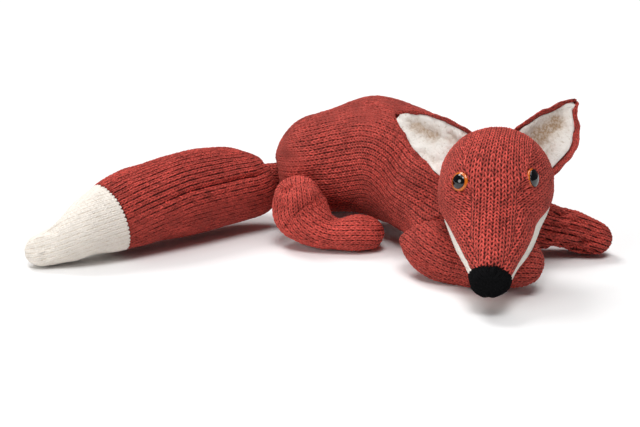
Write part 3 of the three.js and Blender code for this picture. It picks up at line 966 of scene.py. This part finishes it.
# %% [markdown]
# ## Legs
#
# Each leg is a smaller tube in a finer gauge, closed with a drawn thread at the paw. The seams run
# along the hidden sides. The left foreleg is slack, so its wales wander and stand up as folds.

# %% Forelegs
LEG_WALE = 4.6
LEG_STRIPS = [strip(-0.25, 0.25), strip(0.25, 0.75)]
FORE_RIGHT = [
    (-16.8, -95.3, 30.4, 18.0), (-5.2, -110.7, 26, 20.7),
    (16, -119.7, 20.2, 20.7), (37.9, -134.7, 23.4, 20.6), (60.4, -142.2, 26.5, 19.1),
]
FORE_LEFT = [
    (66.9, -37.92, 42.7, 26.9), (85.5, -42.1, 31.2, 24.4), (109.7, -43, 25, 20.3),
    (131.5, -44.7, 19, 18.0), (141, -47, 16.6, 15.6),
]
FORE_SEAM = (-21.3, -106.0, 47.2)


def leg(name, stations, level, yarn, shape, seed, ribbed=0.0, **tube):
    """A stuffed leg on the body of the same name."""
    cage = settle(f"{name}_cage", tube_cage(stations, level, **tube))
    piece = knit(f"fox_{name}", cage, yarn, LEG_STRIPS, LEG_WALE, shape=shape, seed=seed,
                 ribbed=ribbed)
    dress(piece, name, "red_knit", f"{name}_knit", f"{name}_stuffing")


def fore_right_shape(points, outward):
    """A few lumps, the drawn thread at the paw and the flat end at the shoulder's seam."""
    points = lumpy(0.6, 0.2, seed=21)(points, outward)
    points = gather(points, (72.6, -156.1, 30.8), (0.65, -0.73, 0.21), 7, 2.2, 5)
    return on_floor(press(points, FORE_SEAM, (-0.37, 0.50, 0.78), 1.5))


def fore_left_shape(points, outward):
    """Slack cloth in long folds on the front, and the drawn thread near the paw's side."""
    points = lumpy(0.4, 0.3, seed=31)(points, outward)
    fold = np.sin(0.85 * points[:, 2] + 0.25 * points[:, 0] + 1.8 * ripple(points, 15.0, 33))
    slack = fade(points[:, 0], 80, 92) * fade(points[:, 0], 148, 130)
    slack = slack * np.clip(0.2 - 1.3 * outward[:, 1], 0, 1) \
        * np.clip(1.7 - 1.6 * outward[:, 2], 0, 1)
    points = points + (1.7 * fold * slack)[:, None] * outward
    return on_floor(gather(points, (134, -61.4, 18), (0.3, -1, 0.1), 8, 2.2, 5))


leg("foreleg_right", FORE_RIGHT, (0, -1, 0.6), red_shaded_fore_yarn, fore_right_shape, 2)
leg("foreleg_left", FORE_LEFT, (0, -1, 0.3), red_slack_yarn, fore_left_shape, 3, ribbed=0.8)

# %% Hind legs
HIND_RIGHT = [
    (-121.8, -22.5, 47.3, 20.8), (-118.7, -18.5, 33.3, 25.3), (-107, -27, 22.9, 21.4),
    (-88, -32.5, 17, 15.2), (-71.3, -34, 17.3, 16.4), (-59.6, -32, 16.3, 15.2),
]
HIND_LEFT = [(x + 9, 60 - y, z, r) for x, y, z, r in HIND_RIGHT]


def hind_shape(thigh, thigh_out, paw, paw_out, seed):
    """Lumps, a gathered hollow at the top of the thigh and a drawn thread at the paw."""
    def shape(points, outward):
        points = lumpy(0.6, 0.2, seed=seed)(points, outward)
        points = gather(points, thigh, thigh_out, 11, 3.4, 7)
        return on_floor(gather(points, paw, paw_out, 8, 2.4, 5))
    return shape


leg("hindleg_right", HIND_RIGHT, (0, -1, 0.15), red_lit_leg_yarn,
    hind_shape((-132.2, -31.6, 56), (-0.44, -0.51, 0.74), (-46.8, -40.1, 20.6),
               (0.8, -0.53, 0.28), 41), 4, start_depth=0.7, heading=9.0)
leg("hindleg_left", HIND_LEFT, (0, 1, 0.15), red_lit_leg_yarn,
    hind_shape((-123.2, 91.6, 56), (-0.44, 0.51, 0.74), (-37.8, 100.1, 20.6),
               (0.8, 0.53, 0.28), 51), 5, start_depth=0.7, heading=9.0)

# %% [markdown]
# ## Tail
#
# The tail is a long swollen tube with a cream tip. It hangs on a short gathered neck, whose wales
# stay as many as they were, so they crowd into ribs. One seam is sewn up along the side that
# shows, and pulls the cloth into a groove. Neck and tail cross the joints that swing and lift the
# tail; both are baked in place and ride neither body.

# %% Tail
TAIL_WALE, TIP_WALE, NECK_WALE = 4.7, 4.0, 4.2
NECK_WALES = 22.0
TAIL_NECK = [(-122, 38, 50.5, 13.0), (-133.32, 41.2, 50.02, 12.6), (-146.84, 43.8, 48.46, 12.8),
             (-160, 43.8, 45.5, 14.5)]
TAIL = [
    (-156.15, 43.5, 46.95, 28.8), (-159.88, 43, 44, 30), (-167, 39, 43, 32),
    (-186.83, 31, 42.1, 35.9), (-209.35, 16, 42, 37.7), (-231.76, -2.74, 42, 37),
    (-261.87, -25.1, 39, 35.5), (-289.14, -46.94, 32.87, 31.1), (-305.81, -61.24, 28.2, 25.5),
    (-324.98, -70.34, 19.78, 19.4), (-340.57, -74.68, 14.5, 14.5),
]
TIP_PLACE = 196.0
SEAM_PLACES = [30, 69, 104, 130, 155, 196]
SEAM_SHARES = [0.826, 0.817, 0.810, 0.806, 0.790, 0.775]


def tail_seam(place):
    """The share of the way round at which the tail is sewn up."""
    return np.interp(place, SEAM_PLACES, SEAM_SHARES)


def before_seam(place):
    """The same line, counted from the other side."""
    return tail_seam(place) - 1


def seam_pull(place):
    """The seam's groove fades towards the tip."""
    return 3.0 * fade(place, 185, 125) * fade(place, 34, 50)


def seam_shown(place):
    """The seam shows only beyond the gathered end."""
    return fade(place, 26, 40)


TAIL_STRIPS = [strip(before_seam, 0.3, before_seam, pull=seam_pull, seam=seam_shown),
               strip(0.3, tail_seam, tail_seam, pull=seam_pull, seam=seam_shown)]
NECK_STRIPS = [strip(0.0, 0.5, held=NECK_WALES), strip(0.5, 1.0, held=NECK_WALES)]


def tail_shape(points, outward):
    """Soft lumps, and the drawn thread at the tip."""
    points = lumpy(0.9, 0.3, seed=61)(points, outward)
    return on_floor(gather(points, (-346.2, -86.2, 17.5), (-0.5, -0.85, 0.15), 8, 2.0, 5))


def tail_felt_and_shade(points, place):
    """The underside of the tail is worn smooth, and painted darker towards the bottom, as shade."""
    return 0.5 * fade(points[:, 2], 47, 38) * (1 + 0.2 * ripple(points, 12.0, 7))


tail_tube = evened(tube_cage(TAIL, UP, start_depth=0.25, end_depth=1.15, heading=14.0), 0, 80, 3)
tail_cage = settle("tail_cage", tail_tube)
tail = knit("fox_tail", tail_cage, red_slack_yarn, TAIL_STRIPS, TAIL_WALE,
            rows=(0.0, TIP_PLACE), shape=tail_shape, felt_and_shade=tail_felt_and_shade, seed=6, ribbed=0.8)
dress_across(tail, ("tail_root", "tail"), (-150, 43, 47), (-175, 37, 43),
             "red_knit", "tail_knit", "tail_stuffing", fill=0.9)
tip = knit("fox_tail_tip", tail_cage, cream_yarn, HALVES, TIP_WALE,
           rows=(TIP_PLACE, tail_cage["length"]), shape=tail_shape, seed=7)
dress(tip, "tail", "cream_knit", "tail_tip_knit", fill=0.9)
tail_neck = knit("fox_tail_neck", tube_cage(TAIL_NECK, UP), red_yarn, NECK_STRIPS, NECK_WALE,
                 shape=lumpy(0.4, 0.5, seed=71), seed=8)
dress_across(tail_neck, ("torso", "tail_root"), (-126, 39, 50.5), (-140, 42, 49),
             "red_knit", "tail_neck_knit")

# %% [markdown]
# ## Head
#
# The head is one tube from the crown to the nose. The face is red in three strips: the middle one
# has wales that run straight down the forehead, and a line of decreases on each side of it narrows
# the muzzle. The cream jaw starts along a curved line on each cheek and shows as a stripe. Each
# line follows the photograph, in millimetres along the tube and shares of the way round it.

# %% Head tube
SKULL = np.array([40.975, -111.955, 80.041])
FRONT = unit((-0.118, -0.8233, -0.5552))
SIDE = unit((-0.9899, 0.1419, 0))
CROWN = unit(np.cross(SIDE, FRONT))
HEAD_ROWS = [(0, -1.16, 2, 46.6), (20.16, 0.4, 0.57, 45.2), (38.08, 0, -2.41, 38.8),
             (61.04, 0, -3.83, 30.1), (80.64, 0.24, -1.4, 21.2), (94.08, 0.58, 0.07, 16.2)]
HEAD_STATIONS = [(*(SKULL + FRONT * ahead + SIDE * aside + CROWN * up), radius)
                 for ahead, aside, up, radius in HEAD_ROWS]
HEAD_WALE, CROWN_WALE, NOSE_WALE = 4.8, 3.7, 2.8
NOSE_PLACE = 174.0
head_cage = settle("head_cage", tube_cage(HEAD_STATIONS, CROWN, under=0.62), knots=[(24, -62, 45)])

# %% Lines of the face
JAW_RIGHT = [(16, 0.47), (24, 0.445), (32, 0.40), (48, 0.345), (64, 0.325), (80, 0.312),
             (95, 0.300), (108, 0.268), (120, 0.240), (132, 0.222), (145, 0.214), (158, 0.210),
             (168, 0.195), (175, 0.165)]
JAW_LEFT = [(16, 0.46), (24, 0.439), (32, 0.363), (48, 0.31), (64, 0.285), (80, 0.265),
            (95, 0.250), (104, 0.235), (114, 0.213), (121, 0.204), (128, 0.215), (138, 0.221),
            (146, 0.226), (156, 0.229), (167, 0.231), (175, 0.229)]
FACE_HALF = [(80, 26.0), (105, 17.0)]


def head_girth(place):
    """The girth of the head at a place."""
    return np.interp(place, head_cage["marks"], head_cage["girth"])


def jaw_right(place):
    """The share of the way round at which the face meets the jaw on the right."""
    return np.interp(place, *zip(*JAW_RIGHT))


def jaw_left(place):
    """The same line on the left, counted from the other side."""
    return -np.interp(place, *zip(*JAW_LEFT))


def face_right(place):
    """The share of the way round at which the middle of the face ends."""
    half = np.interp(place, *zip(*FACE_HALF)) / np.maximum(head_girth(place), 1.0)
    return np.minimum(half, 0.55 * np.minimum(jaw_right(place), -jaw_left(place)))


def face_left(place):
    """The same line on the left."""
    return -face_right(place)


def crown_wales(place):
    """As many wales round the head as fit, with the narrower ones of the crown."""
    return head_girth(place) / np.interp(place, [60, 100], [CROWN_WALE, HEAD_WALE])


def muzzle(place):
    """Rises from 0 on the forehead to 1 on the muzzle."""
    return fade(place, 92, 114)


def decrease_pull(place):
    """The lines of decreases pucker on the muzzle only."""
    return 0.3 * muzzle(place)


FACE = [
    strip(face_left, face_right, 0.0, crown_wales, pull=decrease_pull, seam=muzzle),
    strip(face_right, jaw_right, jaw_right, crown_wales, walls=(False, True), seam=muzzle),
    strip(jaw_left, face_left, jaw_left, crown_wales, walls=(True, False), seam=muzzle),
]
JAW = [strip(jaw_right, lambda m: 1 + jaw_left(m), 0.5, walls=(True, True))]

# %% Head covers
EYES = {
    "eye_right": {"seat": (8.40, -147.10, 94.73), "aim": (-0.6752, -0.6724, 0.3032),
                  "hollow": (8.8, -154.65, 88.1), "sink": 1.8, "pupil": 0.77,
                  "lid": (2.0, -153.0, 95.0), "lid_rise": 0.0},
    "eye_left": {"seat": (65.40, -149.7, 98.2), "aim": (0.7892, -0.5561, 0.2605),
                 "hollow": (60.41, -159.41, 91.92), "sink": 1.2, "pupil": 0.93,
                 "lid": (61.1, -156.1, 99.5), "lid_rise": 3.0},
}


def head_shape(points, outward):
    """Draws the cloth in where an eye's shank pulls it, with a dark fold under each eye."""
    points = lumpy(0.5, 0.2, seed=81)(points, outward)
    for eye in EYES.values():
        inward = -np.array(eye["aim"])
        points = dent(points, eye["seat"], 11.0, eye["sink"], inward)
        points = dent(points, eye["hollow"], 4.6, 4.4, inward)
        points = dent(points, eye["lid"], 10.0, eye["lid_rise"], -inward)
    return points


def face_felt(points, place):
    """The cheeks are brushed, so their stitches fade."""
    aside = abs((points - SKULL) @ SIDE - 0.3)
    return 0.35 * fade(aside, 22, 32) * fade(place, 60, 85)


FACE_ROWS = (0.0, NOSE_PLACE)
face = knit("fox_face", head_cage, red_fine_lit_yarn, FACE, HEAD_WALE, rows=FACE_ROWS,
            shape=head_shape, felt_and_shade=face_felt, seed=9)
dress(face, "head", "red_knit", "face_knit", "head_stuffing", fill=0.9)
jaw = knit("fox_jaw", head_cage, cream_yarn, JAW, HEAD_WALE, rows=FACE_ROWS, shape=head_shape,
           felt_and_shade=lambda p, place: 0 * place + 0.6, seed=10)
dress(jaw, "head", "cream_knit", "jaw_knit", fill=0.9)
nose = knit("fox_nose", head_cage, black_yarn, HALVES, NOSE_WALE,
            rows=(NOSE_PLACE, head_cage["length"]), shape=lumpy(0.5, 0.5, seed=91), seed=11)
dress(nose, "head", "black_knit", "nose_knit", fill=0.95)

# %% [markdown]
# ## Eyes
#
# Each eye is a turned plastic dome in clear amber with a black pupil in front, on a shank that a
# washer locks behind the cloth. A profile spun round the axis gives a smooth shape, whose curve
# catches the lamps as small glints. The plastic is smooth, so only its reflections change.


# %% Plastic
def glossy(name, colour, roughness, coat=0.0):
    """Hard, polished plastic."""
    def recipe(tree):
        fine = noise(object_place(tree), 500.0)
        dark = tuple(0.8 * c for c in colour)
        return {"Base Color": blend_colours(tree, fine, (*dark, 1), (*colour, 1)),
                "Roughness": ramp(fine, 0.3, 0.7, roughness, roughness * 1.4),
                "Specular IOR Level": 0.5, "Coat Weight": coat, "Coat Roughness": 0.03}
    return material_of(name, recipe)


amber_plastic = glossy("amber_plastic", (0.72, 0.16, 0.008), 0.15, coat=0.3)
black_plastic = glossy("black_plastic", (0.002, 0.002, 0.003), 0.06, coat=0.5)


# %% Eyes
EYE_RADIUS = 7.75


def turned(name, profile, eye, material, sides=64):
    """A profile of (radius, height) turned about an eye's axis."""
    work = bmesh.new()
    ring = [work.verts.new((radius * MM, 0, height * MM)) for radius, height in profile]
    edges = [work.edges.new(pair) for pair in zip(ring, ring[1:])]
    bmesh.ops.spin(work, geom=ring + edges, cent=(0, 0, 0), axis=(0, 0, 1), angle=2 * math.pi,
                   steps=sides, use_merge=True)
    turn = Vector(eye["aim"]).normalized().to_track_quat("Z", "Y").to_matrix().to_4x4()
    place = Matrix.Translation(Vector(eye["seat"]) * MM) @ turn
    bmesh.ops.transform(work, verts=work.verts[:], matrix=place)
    return finish_mesh(name, work, material)


def dome(radius, low, high, skirt, steps=14):
    """A closed profile: flat base, short wall, then a rounded cap."""
    rise = high - low
    ball = (radius ** 2 + rise ** 2) / (2 * rise)
    cap = [(ball * math.sin(a), high - ball * (1 - math.cos(a)))
           for a in np.linspace(math.asin(radius / ball), 0, steps)]
    return [(0, skirt), (radius * 0.92, skirt), *cap[:-1], (0, high)]


for name, eye in EYES.items():
    iris = turned(f"fox_{name}_iris", dome(EYE_RADIUS, 0.3, 3.2, -1.6), eye, amber_plastic)
    pupil = turned(f"fox_{name}_pupil", dome(EYE_RADIUS * eye["pupil"], 1.9, 4.2, 0.5), eye,
                   black_plastic)
    for piece, part, slot in ((iris, "iris", "amber_plastic"), (pupil, "pupil", "black_plastic")):
        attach(piece, "head")
        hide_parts(f"{name}_{part}")
    washer_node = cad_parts[f"{name}_washer"]
    washer_node.data.materials.clear()
    washer_node.data.materials.append(
        glossy(f"{name}_washer_plastic", (0.75, 0.75, 0.73), 0.35))

# %% [markdown]
# ## Ears
#
# An ear is a cup: a knitted red back, whose edges roll forward as a lumpy cord, and a felt lining
# that lies in it. The two edges of each ear follow the photograph: millimetres from the ear's
# middle line at shares of its height.

# %% Ear outlines
# A fold has its two ends, each as a share of height and millimetres across, its depth and width.
# Its depth also sets how much shade is painted in it.
EAR_HEIGHT = 63.0
EAR_SINK = 0.16
EAR_CUP = 10.0
EARS = {
    "ear_right": {
        "middle": (9.935, -90.712, 97.21), "across": (0.5748, 0.0726, 0.8151),
        "rise": (-0.7378, 0.4768, 0.4778), "front": (-0.354, -0.876, 0.3276),
        "low": [(-0.16, 18), (0, 18.8), (0.1, 18.4), (0.2, 16.8), (0.36, 16.2), (0.55, 13.8),
                (0.74, 8.9), (0.9, 5.6), (1, 2.6)],
        "high": [(-0.16, 28.5), (0, 29), (0.1, 28.5), (0.3, 26.6), (0.4, 25.4), (0.54, 22.8),
                 (0.64, 20.6), (0.73, 18.2), (0.86, 13.4), (0.95, 9.5), (1, 6.4)],
        "rims": (2.6, 4.0),
        "folds": [(0.83, 3.2, 0.67, 4.8, 1.6, 1.8), (0.70, 4.0, 0.42, 7.0, 3.4, 6.0),
                  (0.44, 6.2, 0.10, 15.5, 1.5, 2.4), (0.25, 16.1, 0.06, 17.2, 2.4, 2.0),
                  (0.40, -10.0, 0.18, -9.0, 1.2, 2.6)],
    },
    "ear_left": {
        "middle": (70.948, -93.04, 101.575), "across": (0.7266, -0.1709, -0.6655),
        "rise": (0.6594, 0.4456, 0.6055), "front": (0.1931, -0.8788, 0.4365),
        "low": [(-0.16, 26), (0, 25.6), (0.1, 25.1), (0.18, 24.4), (0.27, 23), (0.37, 22),
                (0.46, 20.7), (0.54, 18.6), (0.62, 15.9), (0.71, 13.9), (0.8, 12.3), (0.88, 10.2),
                (0.95, 7.4), (1, 4.5)],
        "high": [(-0.16, 24.5), (0, 25), (0.2, 25.4), (0.3, 25.7), (0.4, 25.4), (0.5, 23.7),
                 (0.6, 21.2), (0.68, 18.4), (0.74, 14.8), (0.8, 10.4), (0.87, 6.2), (0.93, 3.6),
                 (1, 1.6)],
        "rims": (4.0, 5.4),
        "folds": [(0.70, -4.7, 0.50, -3.0, 2.2, 4.5), (0.60, -3.0, 0.26, -6.0, 4.8, 9.5),
                  (0.32, -8.0, 0.08, -4.0, 2.6, 5.0), (0.30, 8.0, 0.05, 10.0, 1.8, 3.4)],
    },
}


def ear_edges(ear, up):
    """Millimetres from the middle line to the low and to the high edge."""
    return np.interp(up, *zip(*ear["low"])), np.interp(up, *zip(*ear["high"]))


def ear_point(ear, up, flat, depth):
    """A point of an ear: share of height, millimetres across and to the front."""
    low, high = ear_edges(ear, up)
    middle, half = (high - low) / 2, (high + low) / 2
    side = (flat - middle) / half
    depth = depth + EAR_CUP * side ** 2 * np.maximum(half / 25, 0.2)
    return np.array(ear["middle"]) + flat[..., None] * np.array(ear["across"]) \
        + (up * EAR_HEIGHT)[..., None] * np.array(ear["rise"]) \
        + depth[..., None] * np.array(ear["front"])


# %% Knitted backs
EAR_WALE = 3.2
EAR_ROWS = 48
RIM_REACH = 5.4
EAR_TIP = ((1.2, 0.75), (1.9, 0.0))
EAR_STRIPS = [strip(-0.36, 0.0, -0.25), strip(0.0, 0.36, 0.25), strip(0.36, 0.64, 0.5)]


def ear_ring(ear, up, angle, lump):
    """One ring round the knitted back: flat, with an edge that is a lumpy cord."""
    side = np.sin(angle)
    low, high = ear_edges(ear, up)
    half = (high + low) / 2
    rim = fade((1 - np.abs(side)) * half, RIM_REACH, 0)
    rim = rim * rim * (3 - 2 * rim)
    which = np.where(side < 0, 0, 2)
    knob = 0.7 * np.sin(27 * up + lump[which]) + 0.4 * np.sin(43 * up + lump[which + 1])
    cord = 1.15 + 0.28 * knob
    flat = (high - low) / 2 + side * half + 0.22 * knob * rim * side
    thick = (0.8 + 2.1 * rim * cord) * np.sqrt(np.maximum(1 - np.abs(side) ** 10, 0))
    depth = 0.2 + 2.6 * rim * cord - np.sign(np.cos(angle)) * thick
    return ear_point(ear, np.full_like(flat, up), flat, depth)


def ear_cage(ear, seed):
    """The knitted back of an ear: a flat tube, closed at both ends."""
    angle = np.linspace(0, 2 * math.pi, 401)
    lump = np.random.default_rng(seed).uniform(0, 6.28, 4)
    rows = [ear_ring(ear, up, angle, lump) for up in np.linspace(-EAR_SINK, 1.0, EAR_ROWS)]
    first, last = rows[0][:-1].mean(axis=0), rows[-1][:-1].mean(axis=0)
    for extra, scale in EAR_TIP:
        rows.append(last + (rows[-1] - last) * scale + np.array(ear["rise"]) * extra)
    rows.insert(0, np.repeat(first[None], len(angle), axis=0))
    shares = np.linspace(0, 1, CAGE_SIDES, endpoint=False)
    net = np.array([np.repeat(row[:1], CAGE_SIDES, axis=0) if lengths_along(row)[-1] < 1e-6
                    else rows_at(shares * lengths_along(row)[-1], lengths_along(row), row)
                    for row in rows])
    return cage_of(net, EAR_HEIGHT * (1 + EAR_SINK) + 4, net.mean(axis=1))


for seed, (name, ear) in enumerate(EARS.items()):
    back = knit(f"fox_{name}_back", ear_cage(ear, seed + 3), red_fine_lit_yarn, EAR_STRIPS, EAR_WALE,
                shape=lumpy(0.3, 0.25, seed=101 + seed),
                felt_and_shade=lambda p, place: 0 * place + 0.3, seed=12)
    dress(back, name, "red_knit", f"{name}_back", fill=0.1)

# %% Felt for the ear linings
FELT_CLEAN = (0.99, 0.95, 0.89, 1)
FELT_SOIL_AND_SHADE = (0.46, 0.30, 0.18, 1)
FELT_SPECK = (0.52, 0.40, 0.28, 1)


def felt_recipe(tree):
    """Pressed wool felt: short fibres in every direction, random beige soiling, and beige painted
    shade in the folds.
    """
    place = object_place(tree)
    # The fold mask is the shade painted in the lining's folds.
    fold = add_node(tree, "ShaderNodeAttribute", output="Fac", attribute_name=FELT_AND_SHADE_MAP)
    fibre = noise(place, 1200.0, 4.0, 0.7)
    tuft = noise(place, 420.0, 3.0, 0.6)
    cloud = ramp(noise(place, 130.0, 3.0), 0.52, 0.85, 0.0, 0.25)
    soil_and_shade = calc(tree, "ADD", cloud, fold * ramp(tuft, 0.25, 0.7, 1.3, 0.6), clamp=True)
    colour = blend_colours(tree, soil_and_shade, FELT_CLEAN, FELT_SOIL_AND_SHADE)
    specks = ramp(tuft, 0.28, 0.44, 1.0, 0.0) * 0.45
    return {"Base Color": blend_colours(tree, specks, colour, FELT_SPECK),
            "Roughness": ramp(fibre, 0.3, 0.7, 0.8, 1.0),
            "Normal": relief(fibre + tuft * 2.0, 0.0009),
            "Specular IOR Level": 0.2, "Sheen Weight": 0.3, "Sheen Roughness": 0.5}


felt = material_of("ear_felt", felt_recipe)


# %% Ear linings
LINING_COLUMNS, LINING_ROWS = 56, 72
LINING_THICK = 1.2
LINING_DEPTH, LINING_EDGE, LINING_LEAST = 4.6, 2.2, 1.9
SHADE_FULL = 4.5


def near_line(up, flat, fold):
    """How near a point of an ear is to a fold, from 0 to 1."""
    up_a, flat_a, up_b, flat_b, _, width = fold
    a = np.array([up_a * EAR_HEIGHT, flat_a])
    b = np.array([up_b * EAR_HEIGHT, flat_b])
    point = np.stack([up * EAR_HEIGHT, flat], axis=-1) - a
    share = np.clip((point @ (b - a)) / ((b - a) @ (b - a)), 0, 1)
    away = np.linalg.norm(point - share[..., None] * (b - a), axis=-1)
    spots = np.concatenate([point.reshape(-1, 2), np.zeros((point.size // 2, 1))], axis=1)
    torn = 1.1 * ripple(spots, 8.0, 121) + 0.7 * ripple(spots, 3.5, 122)
    return np.exp(-(np.maximum(away + torn.reshape(away.shape), 0) / width) ** 2)


def lining_grid(ear, seed):
    """Points of a cut of felt that lies in the cup of the ear, and its stitch map, which holds the
    painted shade of its folds.
    """
    side, up = np.meshgrid(np.linspace(-1, 1, LINING_COLUMNS),
                           np.linspace(-0.1, 0.965, LINING_ROWS))
    low, high = (np.maximum(edge - rim, 0.3) for edge, rim in zip(ear_edges(ear, up), ear["rims"]))
    flat = (high - low) / 2 + side * (high + low) / 2
    depth = LINING_DEPTH - LINING_EDGE * np.abs(side) ** 8
    shade = np.zeros_like(flat)
    for fold in ear["folds"]:
        near = near_line(up, flat, fold)
        depth -= fold[4] * near
        # The deeper a fold, the more shade is painted in it.
        shade = np.maximum(shade, near * min(fold[4] / SHADE_FULL, 1.0))
    spots = np.stack([flat, up * EAR_HEIGHT, 0 * flat], axis=-1).reshape(-1, 3)
    depth = depth + 0.7 * ripple(spots, 9.0, seed).reshape(flat.shape)
    depth = np.maximum(depth, LINING_LEAST)
    return ear_point(ear, up, flat, depth), np.stack([side, up, shade], axis=2)


for seed, (name, ear) in enumerate(EARS.items()):
    grid, stitch = lining_grid(ear, 111 + seed)
    work = bmesh.new()
    add_grid(work, grid, stitch)
    bmesh.ops.solidify(work, geom=work.faces[:], thickness=-LINING_THICK * MM)
    lining = finish_mesh(f"fox_{name}_lining", work, felt)
    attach(lining, name)
    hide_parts(f"{name}_lining")
